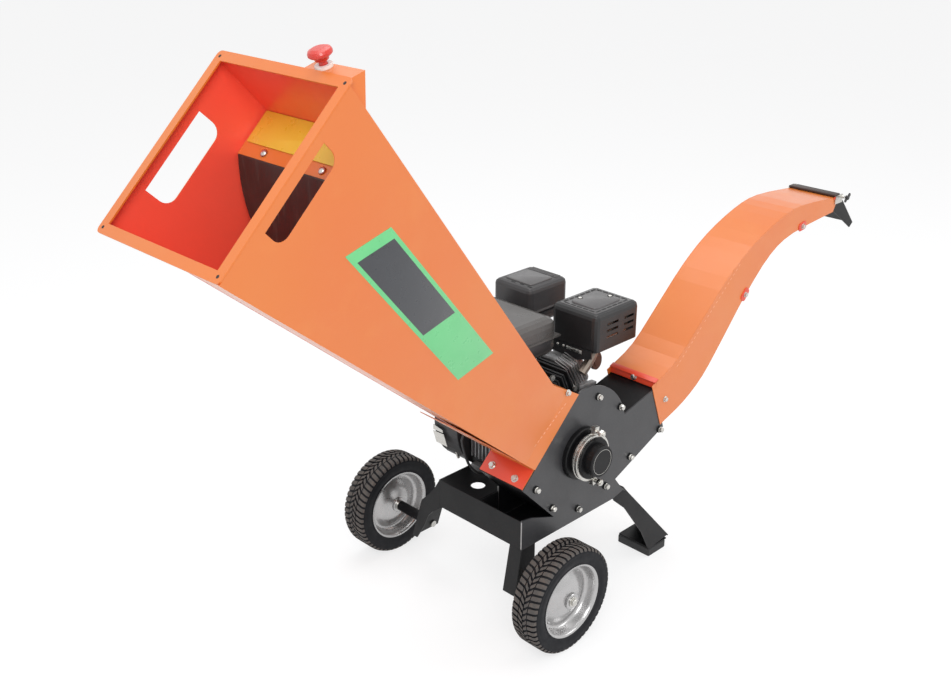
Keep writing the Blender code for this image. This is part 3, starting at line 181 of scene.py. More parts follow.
class Look:
    """A principled material with small helpers for its nodes; texture scales are per metre."""

    def __init__(self, name, colour, roughness, metallic=0.0, **extra):
        self.mat = bpy.data.materials.new(name)
        self.mat.use_nodes = True
        tree = self.mat.node_tree
        self.nodes = tree.nodes
        self.links = tree.links
        self.shader = self.nodes["Principled BSDF"]
        self.colour = colour
        self.shader.inputs["Base Color"].default_value = (*colour, 1)
        self.shader.inputs["Roughness"].default_value = roughness
        self.shader.inputs["Metallic"].default_value = metallic
        for key, value in extra.items():
            self.shader.inputs[key.replace("_", " ")].default_value = value
        self.place = self.nodes.new("ShaderNodeTexCoord").outputs["Object"]
        self.colour_out = None
        self.normal_out = None

    def stretched(self, scale):
        mapping = self.nodes.new("ShaderNodeMapping")
        mapping.inputs["Scale"].default_value = scale
        self.links.new(self.place, mapping.inputs["Vector"])
        return mapping.outputs[0]

    def noise(self, scale, detail=3.0, rough=0.55, source=None, distortion=0.0):
        node = self.nodes.new("ShaderNodeTexNoise")
        node.inputs["Scale"].default_value = scale
        node.inputs["Detail"].default_value = detail
        node.inputs["Roughness"].default_value = rough
        node.inputs["Distortion"].default_value = distortion
        self.links.new(source or self.place, node.inputs["Vector"])
        return node.outputs["Fac"]

    def cells(self, scale, source=None):
        node = self.nodes.new("ShaderNodeTexVoronoi")
        node.inputs["Scale"].default_value = scale
        self.links.new(source or self.place, node.inputs["Vector"])
        return node.outputs["Distance"]

    def spread(self, value, low, high, to_low=0.0, to_high=1.0):
        node = self.nodes.new("ShaderNodeMapRange")
        node.inputs["From Min"].default_value = low
        node.inputs["From Max"].default_value = high
        node.inputs["To Min"].default_value = to_low
        node.inputs["To Max"].default_value = to_high
        self.links.new(value, node.inputs["Value"])
        return node.outputs[0]

    def tint(self, amount, colour):
        """Mixes another colour over the base by the amount, a node output from 0 to 1."""
        node = self.nodes.new("ShaderNodeMix")
        node.data_type = "RGBA"
        self.links.new(amount, node.inputs["Factor"])
        if self.colour_out is None:
            node.inputs["A"].default_value = (*self.colour, 1)
        else:
            self.links.new(self.colour_out, node.inputs["A"])
        node.inputs["B"].default_value = (*colour, 1)
        self.colour_out = node.outputs["Result"]
        self.links.new(self.colour_out, self.shader.inputs["Base Color"])
        return self

    def rough(self, value):
        self.links.new(value, self.shader.inputs["Roughness"])
        return self

    def bump(self, height, distance, strength=1.0):
        node = self.nodes.new("ShaderNodeBump")
        node.inputs["Strength"].default_value = strength
        node.inputs["Distance"].default_value = distance
        self.links.new(height, node.inputs["Height"])
        if self.normal_out is not None:
            self.links.new(self.normal_out, node.inputs["Normal"])
        self.normal_out = node.outputs[0]
        self.links.new(self.normal_out, self.shader.inputs["Normal"])
        return self


def powder_coat(name, colour, deep, light, roughness, dust=0.0, coat=0.12, shine=0.5):
    """Sprayed and baked paint: orange-peel skin, faint clouding, a few rubbed streaks, some dust."""
    look = Look(name, colour, roughness, Coat_Weight=coat, Coat_Roughness=0.22, Specular_IOR_Level=shine)
    look.tint(look.spread(look.noise(2.6, 2), 0.35, 0.75, 0.0, 0.55), deep)
    look.tint(look.spread(look.noise(9.0, 4, 0.6), 0.52, 0.80, 0.0, 0.35), light)
    streak = look.noise(1.0, 5, 0.7, look.stretched((14, 90, 90)), 0.6)
    look.tint(look.spread(streak, 0.64, 0.78, 0.0, 0.28), light)
    if dust:
        look.tint(look.spread(look.noise(160, 5, 0.7), 0.55, 0.85, 0.0, dust), (0.55, 0.50, 0.45))
    look.rough(look.spread(look.noise(14, 4), 0.3, 0.7, roughness - 0.05, roughness + 0.09))
    look.bump(look.noise(420, 2), 0.00016, 0.5)
    look.bump(look.noise(24, 2), 0.0012, 0.10)
    return look.mat


def orange_paint(name="orange_powder_coat"):
    deep, light = (0.74, 0.150, 0.022), (0.78, 0.260, 0.050)
    return powder_coat(name, (0.745, 0.195, 0.028), deep, light, 0.34, coat=0.45, shine=0.5)


def inner_shade_orange_paint(name, inward):
    """The same paint with painted shade and inter-reflected red on the face that looks into the hopper,
    found by its direction.
    """
    mat = orange_paint(name)
    nodes, links = mat.node_tree.nodes, mat.node_tree.links
    face = nodes.new("ShaderNodeNewGeometry")
    dot = nodes.new("ShaderNodeVectorMath")
    dot.operation = "DOT_PRODUCT"
    dot.inputs[1].default_value = inward
    links.new(face.outputs["True Normal"], dot.inputs[0])
    side = nodes.new("ShaderNodeMath")
    side.operation = "GREATER_THAN"
    side.inputs[1].default_value = 0.6
    links.new(dot.outputs["Value"], side.inputs[0])
    mix = nodes.new("ShaderNodeMix")
    mix.data_type = "RGBA"
    shader = nodes["Principled BSDF"]
    links.new(side.outputs[0], mix.inputs["Factor"])
    links.new(shader.inputs["Base Color"].links[0].from_socket, mix.inputs["A"])
    # The redder colour for the inner faces is painted shade and inter-reflection; the paint inside is the
    # same.
    mix.inputs["B"].default_value = (0.92, 0.100, 0.058, 1)
    links.new(mix.outputs["Result"], shader.inputs["Base Color"])
    return mat


def red_orange_paint():
    deep, light = (0.68, 0.05, 0.022), (0.82, 0.12, 0.05)
    return powder_coat("orange_flange_coat", (0.76, 0.070, 0.030), deep, light, 0.34, coat=0.3)


def tank_paint():
    deep, light = (0.058, 0.055, 0.053), (0.115, 0.108, 0.102)
    return powder_coat("tank_grey_paint", (0.078, 0.073, 0.070), deep, light, 0.28)


def flange_rust():
    deep, light = (0.060, 0.028, 0.020), (0.180, 0.095, 0.060)
    return powder_coat("rusted_flange", (0.105, 0.045, 0.030), deep, light, 0.55)


def black_paint():
    deep, light = (0.003, 0.003, 0.004), (0.011, 0.011, 0.012)
    return powder_coat("black_powder_coat", (0.0045, 0.0045, 0.0052), deep, light, 0.40, 0.02, 0.02, 0.22)


def plate_paint():
    deep, light = (0.026, 0.026, 0.029), (0.056, 0.055, 0.058)
    return powder_coat("charcoal_plate_coat", (0.036, 0.036, 0.039), deep, light, 0.38, 0.06)


def tyre_rubber():
    look = Look("tyre_rubber", (0.0060, 0.0066, 0.0090), 0.55, Specular_IOR_Level=0.22)
    look.tint(look.spread(look.noise(30, 5, 0.65), 0.50, 0.8, 0.0, 0.25), (0.022, 0.021, 0.022))
    look.rough(look.spread(look.noise(60, 3), 0.3, 0.7, 0.48, 0.64))
    look.bump(look.noise(900, 2), 0.00012, 0.5)
    return look.mat


def tread_rubber():
    """The tread's worn tops, greyed with dry mud."""
    look = Look("tread_worn", (0.085, 0.078, 0.074), 0.85)
    look.tint(look.spread(look.noise(75, 6, 0.7), 0.42, 0.72, 0.0, 0.8), (0.145, 0.120, 0.103))
    look.tint(look.spread(look.noise(260, 4, 0.7), 0.55, 0.80, 0.0, 0.6), (0.030, 0.028, 0.027))
    look.bump(look.noise(500, 4), 0.0004, 0.6)
    return look.mat


def rim_paint():
    look = Look("rim_silver_paint", (0.47, 0.465, 0.465), 0.26, 0.85, Coat_Weight=0.30, Coat_Roughness=0.10)
    look.tint(look.spread(look.noise(40, 4, 0.6), 0.5, 0.85, 0.0, 0.30), (0.30, 0.29, 0.28))
    look.tint(look.spread(look.cells(2600), 0.0, 0.5, 0.05, 0.0), (0.80, 0.80, 0.82))
    look.rough(look.spread(look.noise(28, 3), 0.3, 0.7, 0.22, 0.32))
    look.bump(look.noise(700, 2), 0.00008, 0.4)
    return look.mat


def zinc():
    look = Look("zinc_plate", (0.62, 0.61, 0.58), 0.27, 1.0)
    look.tint(look.spread(look.noise(180, 4, 0.6), 0.45, 0.8, 0.0, 0.45), (0.40, 0.38, 0.34))
    look.rough(look.spread(look.noise(300, 3), 0.3, 0.7, 0.20, 0.42))
    look.bump(look.noise(1400, 2), 0.00006, 0.5)
    return look.mat


def steel(name="ground_steel", colour=(0.48, 0.48, 0.49), roughness=0.30):
    """Brushed or ground along Y."""
    look = Look(name, colour, roughness, 1.0)
    grain = look.noise(1.0, 4, 0.6, look.stretched((1500, 30, 1500)))
    look.tint(look.spread(look.noise(26, 5, 0.6), 0.45, 0.8, 0.0, 0.5), (0.26, 0.24, 0.22))
    look.rough(look.spread(grain, 0.3, 0.7, roughness - 0.06, roughness + 0.14))
    look.bump(grain, 0.00008, 0.5)
    return look.mat


def cast_metal():
    look = Look("cast_aluminium", (0.33, 0.33, 0.335), 0.50, 0.85)
    look.tint(look.spread(look.noise(45, 5, 0.65), 0.45, 0.75, 0.0, 0.6), (0.16, 0.15, 0.14))
    look.rough(look.spread(look.noise(120, 4), 0.3, 0.7, 0.40, 0.62))
    look.bump(look.noise(520, 3), 0.00035, 0.6)
    return look.mat


def moulded_plastic(name, colour, roughness, light=None, coat=0.0):
    look = Look(name, colour, roughness, Coat_Weight=coat, Coat_Roughness=0.2)
    lighter = light or tuple(min(1, c * 1.8 + 0.01) for c in colour)
    look.tint(look.spread(look.noise(12, 4, 0.6), 0.48, 0.80, 0.0, 0.45), lighter)
    look.tint(look.spread(look.noise(240, 4, 0.75), 0.62, 0.85, 0.0, 0.20), (0.35, 0.33, 0.31))
    look.rough(look.spread(look.noise(18, 3), 0.3, 0.7, roughness - 0.06, roughness + 0.07))
    look.bump(look.cells(1500), 0.00010, 0.45)
    return look.mat


def curtain_rubber():
    look = Look("curtain_rubber", (0.024, 0.019, 0.017), 0.42)
    # Lighter brown streaks down the curtain: scuffs together with painted reflection along its strips.
    scuffs_and_painted_reflection = look.noise(1.0, 6, 0.7, look.stretched((60, 60, 7)), 1.2)
    look.tint(look.spread(scuffs_and_painted_reflection, 0.55, 0.74, 0.0, 0.55), (0.125, 0.095, 0.080))
    look.tint(look.spread(look.noise(18, 4), 0.5, 0.8, 0.0, 0.4), (0.055, 0.040, 0.034))
    look.rough(look.spread(scuffs_and_painted_reflection, 0.4, 0.7, 0.34, 0.58))
    look.bump(look.noise(1.0, 4, 0.6, look.stretched((240, 240, 40))), 0.0005, 0.4)
    return look.mat


def film(name, colour, darker):
    """A stuck-on plastic film: smooth, faintly crazed."""
    look = Look(name, colour, 0.30, Coat_Weight=0.3, Coat_Roughness=0.1)
    look.tint(look.spread(look.noise(16, 5, 0.65), 0.50, 0.80, 0.0, 0.5), darker)
    look.tint(look.spread(look.noise(300, 5, 0.7), 0.64, 0.80, 0.0, 0.25), (0.8, 0.8, 0.78))
    look.rough(look.spread(look.noise(50, 3), 0.3, 0.7, 0.24, 0.40))
    look.bump(look.noise(90, 3), 0.0004, 0.12)
    return look.mat


LOOKS = {
    "orange_paint": orange_paint(),
    "black_paint": black_paint(),
    "plate_grey": plate_paint(),
    "tyre_rubber": tyre_rubber(),
    "rim_silver": rim_paint(),
    "zinc": zinc(),
    "foot_rubber": moulded_plastic("foot_rubber", (0.016, 0.016, 0.017), 0.62),
    "knife_steel": steel(),
    "rotor_steel": steel("mill_steel", (0.34, 0.33, 0.33), 0.38),
    "curtain_rubber": curtain_rubber(),
    "stop_red": moulded_plastic("button_red", (0.62, 0.035, 0.022), 0.30, (0.75, 0.08, 0.05), 0.3),
    "stop_white": moulded_plastic("collar_white", (0.82, 0.80, 0.76), 0.38, (0.86, 0.85, 0.83)),
    "engine_cast": cast_metal(),
    "engine_black": moulded_plastic("engine_black", (0.022, 0.022, 0.024), 0.42),
    "tank_grey": tank_paint(),
    "cap_black": moulded_plastic("cap_black", (0.020, 0.020, 0.021), 0.45),
    "guard_black": moulded_plastic("guard_black", (0.012, 0.012, 0.013), 0.36, (0.024, 0.023, 0.024)),
    "muffler_steel": steel("heated_steel", (0.30, 0.25, 0.21), 0.42),
    "box_black": moulded_plastic("box_black", (0.034, 0.032, 0.034), 0.40, (0.062, 0.060, 0.061)),
    "lever_black": moulded_plastic("lever_black", (0.020, 0.020, 0.021), 0.45),
    "plastic_white": moulded_plastic("pulley_white", (0.74, 0.73, 0.70), 0.42),
    "flange_red": red_orange_paint(),
    "tread": tread_rubber(),
    "dash_pale": film("dash_pale", (0.88, 0.42, 0.24), (0.80, 0.34, 0.18)),
    "worn_edge": steel("worn_edge", (0.42, 0.41, 0.41), 0.36),
    "rust_flange": flange_rust(),
    "brown_rubber": moulded_plastic("brown_rubber", (0.030, 0.014, 0.011), 0.45, (0.060, 0.030, 0.022)),
    # A lighter copy of the guard's black: painted light for the lit tops of the muffler guard and the air
    # cleaner.
    "guard_top_painted_light": moulded_plastic("guard_top_painted_light", (0.072, 0.069, 0.071), 0.34, (0.100, 0.097, 0.096), 0.2),
    # A near-black that paints the shade in slots, screw wells and a pocket.
    "painted_shade_black": moulded_plastic("painted_shade_black", (0.004, 0.004, 0.004), 0.60, (0.008, 0.008, 0.008)),
    "band_green": film("band_green", (0.150, 0.60, 0.235), (0.11, 0.52, 0.19)),
    "band_dark": film("band_dark", (0.045, 0.048, 0.055), (0.032, 0.034, 0.040)),
    "plate_yellow": film("plate_yellow", (0.80, 0.55, 0.045), (0.72, 0.46, 0.030)),
}
UP_MOUTH = (math.cos(TILT), 0, math.sin(TILT))
# Each hopper panel gets the paint with painted shade on its inner face.
for look, inward in (
    ("inner_shade_near", (0, 1, 0)),
    ("inner_shade_far", (0, -1, 0)),
    ("inner_shade_bottom", UP_MOUTH),
    ("inner_shade_top", tuple(-v for v in UP_MOUTH)),
):
    LOOKS[look] = inner_shade_orange_paint("orange_" + look, inward)
INNER_SHADE_LOOKS = {"hopper_panel_" + side: "inner_shade_" + side for side in ("near", "far", "bottom", "top")}
for node, obj in frame["nodes"].items():
    part = next(p for p in frame["record"]["subparts"] if p["node"] == node)
    obj.data.materials.clear()
    obj.data.materials.append(LOOKS[INNER_SHADE_LOOKS.get(node, part["material_slot"])])


# Shapes: all are drawn in the machine's frame, with its wheels' axis at x = 0


class Shape:
    """One piece's mesh, built from simple solids; faces wear the first look unless given another."""

    def __init__(self):
        self.bm = bmesh.new()

    def take(self, verts, faces, matrix):
        """Adds the vertices, moved by the matrix, and the faces between them."""
        made = [self.bm.verts.new(matrix @ Vector(v)) for v in verts]
        for face in faces:
            self.bm.faces.new([made[i] for i in face])

    def revolve(self, profile, matrix, steps=24, ring=False):
        """(radius, height) pairs, from the top down the outer side, turned round local Z."""
        verts = []
        rows = []
        for radius, height in profile:
            if radius < 1e-6:
                rows.append([len(verts)] * steps)
                verts.append((0, 0, height))
                continue
            row = []
            for k in range(steps):
                a = 2 * math.pi * k / steps
                row.append(len(verts))
                verts.append((radius * math.cos(a), radius * math.sin(a), height))
            rows.append(row)
        if ring:
            rows.append(rows[0])
        faces = []
        for top, low in zip(rows, rows[1:]):
            for k in range(steps):
                n = (k + 1) % steps
                face = []
                for i in (top[k], low[k], low[n], top[n]):
                    if i not in face:
                        face.append(i)
                if len(face) > 2:
                    faces.append(face)
        self.take(verts, faces, matrix)
        return self

    def disc(self, radius, low, high, matrix, chamfer=0.0005, steps=24):
        profile = [(0, high), (radius - chamfer, high), (radius, high - chamfer), (radius, low), (0, low)]
        return self.revolve(profile, matrix, steps)

    def box(self, low, high, matrix=Matrix(), bevel=0.0, segments=2):
        part = bmesh.new()
        bmesh.ops.create_cube(part, size=1)
        size = Vector(high) - Vector(low)
        bmesh.ops.scale(part, vec=size, verts=part.verts)
        bmesh.ops.translate(part, vec=(Vector(high) + Vector(low)) / 2, verts=part.verts)
        if bevel:
            bmesh.ops.bevel(
                part, geom=part.edges[:], offset=bevel, segments=segments, profile=0.5, affect="EDGES"
            )
        part.verts.index_update()
        verts = [v.co.copy() for v in part.verts]
        faces = [[v.index for v in f.verts] for f in part.faces]
        part.free()
        self.take(verts, faces, matrix)
        return self

    def prism(self, outline, low, high, matrix=Matrix(), bevel=0.0):
        """A flat plate: its outline in the local XY plane, from low to high along Z, its top bevelled."""
        part = bmesh.new()
        ring = [part.verts.new((u, v, low)) for u, v in outline]
        face = part.faces.new(ring)
        made = bmesh.ops.extrude_face_region(part, geom=[face])
        lifted = [g for g in made["geom"] if isinstance(g, bmesh.types.BMVert)]
        bmesh.ops.translate(part, vec=(0, 0, high - low), verts=lifted)
        bmesh.ops.recalc_face_normals(part, faces=part.faces)
        if bevel:
            top = [e for e in part.edges if all(abs(v.co.z - high) < 1e-7 for v in e.verts)]
            bmesh.ops.bevel(part, geom=top, offset=bevel, segments=2, profile=0.5, affect="EDGES")
        part.verts.index_update()
        verts = [v.co.copy() for v in part.verts]
        faces = [[v.index for v in f.verts] for f in part.faces]
        part.free()
        self.take(verts, faces, matrix)
        return self

    def tube(self, points, radius, sides=10):
        """A round bar along the points, with flat ends."""
        line = [Vector(p) for p in points]
        up = Vector((0, 0, 1))
        rings = []
        side = None
        for i, here in enumerate(line):
            ahead = line[min(i + 1, len(line) - 1)] - line[max(i - 1, 0)]
            ahead.normalize()
            if side is None:
                side = ahead.cross(up)
                if side.length < 0.05:
                    side = ahead.cross(Vector((1, 0, 0)))
            side = (side - ahead * side.dot(ahead)).normalized()
            lift = ahead.cross(side)
            ring = []
            for k in range(sides):
                a = 2 * math.pi * k / sides
                ring.append(self.bm.verts.new(here + (side * math.cos(a) + lift * math.sin(a)) * radius))
            rings.append(ring)
        for a, b in zip(rings, rings[1:]):
            for k in range(sides):
                n = (k + 1) % sides
                self.bm.faces.new((a[k], a[n], b[n], b[k]))
        self.bm.faces.new(list(reversed(rings[0])))
        self.bm.faces.new(rings[-1])
        return self

    def done(self, name, looks, body, smooth=35):
        bmesh.ops.recalc_face_normals(self.bm, faces=self.bm.faces)
        bmesh.ops.transform(self.bm, matrix=SHIFT, verts=self.bm.verts)
        mesh = bpy.data.meshes.new(name)
        self.bm.to_mesh(mesh)
        self.bm.free()
        for look in looks:
            mesh.materials.append(LOOKS[look])
        mesh.shade_smooth()
        mesh.set_sharp_from_angle(angle=math.radians(smooth))
        obj = bpy.data.objects.new(name, mesh)
        bpy.context.scene.collection.objects.link(obj)
        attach(obj, body)
        return obj


def arc(centre, radius, start, end, steps):
    angles = [math.radians(start + (end - start) * i / steps) for i in range(steps + 1)]
    return [(centre[0] + radius * math.cos(a), centre[1] + radius * math.sin(a)) for a in angles]


def spaced(low, high, count):
    """Evenly spaced values from low to high, both ends with them."""
    return [low + (high - low) * k / (count - 1) for k in range(count)]


def rounded(low, high, radius, steps=4):
    """A rounded rectangle's outline."""
    (u0, v0), (u1, v1) = low, high
    r = radius
    outline = arc((u1 - r, v1 - r), r, 0, 90, steps)
    outline += arc((u0 + r, v1 - r), r, 90, 180, steps)
    outline += arc((u0 + r, v0 + r), r, 180, 270, steps)
    outline += arc((u1 - r, v0 + r), r, 270, 360, steps)
    return outline


def facing(at, axis, turn=0.0):
    """A frame at the point with its Z along the axis."""
    spin = Vector(axis).normalized().to_track_quat("Z", "Y").to_matrix().to_4x4()
    return Matrix.Translation(at) @ spin @ Matrix.Rotation(math.radians(turn), 4, "Z")


def hex_outline(flats, scale=1.0):
    radius = flats / math.sqrt(3) * scale
    angles = [math.radians(60 * i) for i in range(6)]
    return [(radius * math.cos(a), radius * math.sin(a)) for a in angles]


def hex_bolt(shape, at, axis, flats=0.013, height=0.0058, washer=0.0092, turn=12, stud=0.0):
    """A hexagon head or nut on its washer; stud is how far the thread stands out of a nut."""
    m = facing(at, axis, turn)
    rise = 0.0
    if washer:
        shape.disc(washer, 0.0, 0.0016, m, 0.0004, 20)
        rise = 0.0016
    full = hex_outline(flats)
    small = hex_outline(flats, 0.90)
    verts = [(u, v, rise) for u, v in full]
    verts += [(u, v, rise + height * 0.84) for u, v in full]
    verts += [(u, v, rise + height) for u, v in small]
    faces = [tuple(range(12, 18))]
    for level in (0, 6):
        for k in range(6):
            n = (k + 1) % 6
            faces.append((level + k, level + n, level + 6 + n, level + 6 + k))
    faces.append((5, 4, 3, 2, 1, 0))
    shape.take(verts, faces, m)
    if stud:
        shape.disc(flats * 0.30, rise + height, rise + height + stud, m, 0.0006, 14)
    else:
        shape.disc(flats * 0.36, rise + height - 0.0002, rise + height + 0.0003, m, 0.0002, 16)


def dome_bolt(shape, at, axis, radius=0.008, height=0.0042):
    m = facing(at, axis)
    profile = [(0, height)]
    for k in range(1, 6):
        a = math.radians(90 - 18 * k)
        profile.append((radius * math.cos(a), height * math.sin(a)))
    profile.append((0, 0))
    shape.revolve(profile, m, 20)


# The ignition cable's route from the crankcase's top to its foot
CABLE = (
    (0.0530, -0.020, 0.4550),
    (0.0200, -0.020, 0.4590),
    (-0.0150, -0.020, 0.4580),
    (-0.0380, -0.020, 0.4480),
    (-0.0455, -0.020, 0.4320),
    (-0.0424, -0.020, 0.4145),
    (-0.0350, -0.020, 0.3890),
    (-0.0256, -0.020, 0.3653),
    (-0.0130, -0.020, 0.3450),
    (0.0040, -0.020, 0.3290),
    (0.0250, -0.020, 0.3190),
    (0.0520, -0.020, 0.3170),
)
CABLE_R = 0.0032
WELL_X = (-0.0535, 0.2550)
WELL_FLOOR = (0.2378, 0.2402)  # level with the skirts' lower edges
WELL_SIDE_X = (-0.0537, 0.0036)
WELL_SIDE_Z = (0.2404, 0.3085)  # from the floor sheet up to the table


def make_well_plate():
    """The floor sheet and the side sheet that close the well in front of the rotor."""
    shape = Shape()
    near, far = NEAR_Y + 0.0048, FAR_Y - 0.0048
    shape.box((WELL_X[0], near, WELL_FLOOR[0]), (WELL_X[1], far, WELL_FLOOR[1]), bevel=0.0005)
    near, far = FAR_Y - 0.0037, FAR_Y - 0.0007
    shape.box((WELL_SIDE_X[0], near, WELL_SIDE_Z[0]), (WELL_SIDE_X[1], far, WELL_SIDE_Z[1]), bevel=0.0005)
    shape.done("well_plate", ["black_paint"], "frame")


def make_cable():
    shape = Shape()
    shape.tube(CABLE, CABLE_R, 14)
    cable = shape.done("engine_cable", ["lever_black"], "frame", 60)


set_camera()
make_cable()
make_well_plate()
set_light()
make_floor()


# Wheels


def tyre_radius(y):
    """The carcass's outer radius under the tread blocks, across the tyre."""
    table = ((0.0, 0.1242), (0.0290, 0.1240), (0.0325, 0.1222), (0.0350, 0.1160), (0.0360, 0.1050))
    y = abs(y)
    for (y0, r0), (y1, r1) in zip(table, table[1:]):
        if y <= y1:
            return r0 + (r1 - r0) * (y - y0) / (y1 - y0)
    return table[-1][1]


def make_tyre(side, sign):
    """Carcass, sidewall ridges and the moulded tread: slanted shoulder blocks and a zigzag centre."""
    turn = TO_NEAR if sign < 0 else TO_FAR
    m = Matrix.Translation((0, sign * WHEEL_Y, WHEEL_R)) @ turn
    shape = Shape()
    half = [
        (0.0858, 0.0315),
        (0.0885, 0.0330),
        (0.0900, 0.0343),
        (0.0918, 0.0336),
        (0.0960, 0.0348),
        (0.1040, 0.0360),
        (0.1100, 0.0359),
        (0.1140, 0.0353),
        (0.1155, 0.0357),
        (0.1172, 0.0351),
        (0.1205, 0.0338),
        (0.1236, 0.0300),
        (0.1242, 0.0150),
    ]
    profile = half + [(r, -h) for r, h in reversed(half)]
    shape.revolve(profile, m, 96, ring=True)

    count = 54
    pitch = 2 * math.pi / count

    def block(rows, drop=0.0045):
        """Rows of (y, start, end, top radius) across the tyre; start and end are in pitches."""
        verts = []
        for y, start, end, top in rows:
            low = tyre_radius(y) - drop
            for s in (start, end):
                a = s * pitch
                verts.append((low * math.cos(a), low * math.sin(a), y))
                verts.append((top * math.cos(a), top * math.sin(a), y))
        faces = []
        tops = []
        for i in range(len(rows) - 1):
            a, b = 4 * i, 4 * i + 4
            tops.append(len(faces))
            faces.append((a + 1, a + 3, b + 3, b + 1))
            faces.append((a, b, b + 2, a + 2))
            faces.append((a, a + 1, b + 1, b))
            faces.append((a + 2, b + 2, b + 3, a + 3))
        last = 4 * (len(rows) - 1)
        faces.append((0, 2, 3, 1))
        faces.append((last, last + 1, last + 3, last + 2))
        made = [shape.bm.verts.new(m @ Vector(v)) for v in verts]
        for k, face in enumerate(faces):
            new = shape.bm.faces.new([made[i] for i in face])
            new.material_index = 1 if k in tops else 0

    top = 0.1269
    lean = 0.34
    for k in range(count):
        for way in (-1, 1):
            s = k + (0.5 if way > 0 else 0.0)
            rows = (
                (way * 0.0135, s + lean, s + lean + 0.56, top),
                (way * 0.0190, s + lean * 0.55, s + lean * 0.55 + 0.66, top),
                (way * 0.0275, s + lean * 0.20, s + lean * 0.20 + 0.66, top - 0.0002),
                (way * 0.0325, s, s + 0.64, top - 0.0022),
                (way * 0.0352, s - 0.02, s + 0.60, 0.1196),
            )
            block(rows)
            rows = (
                (way * 0.0010, s + 1.00, s + 1.50, top),
                (way * 0.0055, s + 0.76, s + 1.34, top),
                (way * 0.0115, s + 0.30, s + 0.90, top),
            )
            block(rows)
    tyre = shape.done("tyre_%s_tread" % side, ["tyre_rubber", "tread"], "wheel_" + side, 40)
    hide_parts("tyre_" + side)


def make_rim(side, sign):
    """The two pressed halves with their domes, recesses and bead flanges, and the axle's nut."""
    turn = TO_NEAR if sign < 0 else TO_FAR
    m = Matrix.Translation((0, sign * WHEEL_Y, WHEEL_R)) @ turn
    shape = Shape()
    half = [
        (0.0083, 0.0345),
        (0.0180, 0.0345),
        (0.0190, 0.0335),
        (0.0190, 0.0262),
        (0.0205, 0.0254),
        (0.0310, 0.0238),
        (0.0400, 0.0208),
        (0.0490, 0.0166),
        (0.0570, 0.0118),
        (0.0630, 0.0082),
        (0.0680, 0.0064),
        (0.0720, 0.0064),
        (0.0755, 0.0086),
        (0.0780, 0.0140),
        (0.0800, 0.0235),
        (0.0815, 0.0300),
        (0.0838, 0.0330),
        (0.0865, 0.0342),
        (0.0880, 0.0340),
        (0.0882, 0.0330),
        (0.0855, 0.0319),
        (0.0828, 0.0235),
    ]
    inner = [
        (0.0083, -0.0205),
        (0.0290, -0.0205),
        (0.0480, -0.0128),
        (0.0550, 0.0),
        (0.0480, 0.0128),
        (0.0290, 0.0205),
        (0.0083, 0.0205),
    ]
    shape.revolve(half + [(r, -h) for r, h in reversed(half)] + inner, m, 96, ring=True)
    rivet = [(0, 0.0100), (0.0022, 0.0098), (0.0030, 0.0088), (0.0030, 0.0060), (0, 0.0060)]
    for k in range(4):
        spin = m @ Matrix.Rotation(math.radians(45 + 90 * k), 4, "Z")
        shape.revolve(rivet, spin @ Matrix.Translation((0.0665, 0, -0.0012)), 16)
    rim = shape.done("rim_%s_pressed" % side, ["rim_silver"], "wheel_" + side)
    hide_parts("rim_" + side)

    nut = Shape()
    tip = m @ Matrix.Translation((0, 0, 0.0349))
    hex_bolt(nut, tip.translation, (0, sign, 0), 0.0150, 0.0042, 0.0118, 20)
    nut.tube([m @ Vector((-0.009, 0.001, 0.0416)), m @ Vector((0.011, 0.001, 0.0416))], 0.0008, 8)
    nut.done("axle_%s_nut" % side, ["zinc"], "frame")


for side, sign in (("near", -1), ("far", 1)):
    make_tyre(side, sign)
    make_rim(side, sign)


# Chamber

PLATE_BOLTS = (
    (0.1849, 0.5313),
    (0.2667, 0.4780),
    (0.4249, 0.3624),
    (0.3136, 0.3304),
    (0.2257, 0.2865),
    (0.1284, 0.2663),
    (0.0396, 0.3055),
    (-0.0154, 0.3747),
)
FOOT_BOLTS = ((-0.1273, 0.0385), (-0.1320, -0.0332))  # up the mouth and across, on the hopper's foot
SHEET_BOLTS = ((0.0793, 0.5770), (0.4383, 0.4390))  # on the hopper's ear and on the chute's side


def make_chamber_bolts():
    """The bolts of both side plates, with collars on the near one, and those of the hopper and chute."""
    collars = Shape()
    shape = Shape()
    for i, (x, z) in enumerate(PLATE_BOLTS):
        collars.disc(0.0088, 0.0, 0.0034, facing((x, NEAR_Y, z), (0, -1, 0)), 0.0008, 24)
        hex_bolt(shape, (x, NEAR_Y - 0.0034, z), (0, -1, 0), 0.0115, 0.0062, 0.0072, 17 * i)
        hex_bolt(shape, (x, FAR_Y, z), (0, 1, 0), turn=23 * i, washer=0.0)
    for i, (up, y) in enumerate(FOOT_BOLTS):
        hex_bolt(shape, HOPPER @ Vector((up, y, 0.0022)), OUTWARD, 0.012, 0.0058, 0.0088, 20 + 25 * i)
    for x, z in SHEET_BOLTS:
        hex_bolt(shape, (x, NEAR_Y - SHEET, z), (0, -1, 0), 0.010, 0.0044, 0.0074, 8)
    shape.done("chamber_bolts", ["zinc"], "frame")
    collars.done("bolt_collars", ["black_paint"], "frame")


def make_worn_edges():
    """Scraped bare strips on the plates' front edges."""
    shape = Shape()
    shape.box((-0.0575, NEAR_Y, 0.2400), (-0.0568, NEAR_Y + 0.0030, 0.3085), bevel=0.0002)
    shape.box((0.0034, FAR_Y - 0.0042, 0.2600), (0.0041, FAR_Y + 0.0002, 0.3215), bevel=0.0002)
    shape.done("worn_edges", ["worn_edge"], "frame")


# Tabs on the chute's near side: x and z of the centre, 5 mm inside the lower edge, and the edge's slope
CHUTE_TABS = ((0.7469, 0.6249, 46), (0.9914, 0.7485, 6))


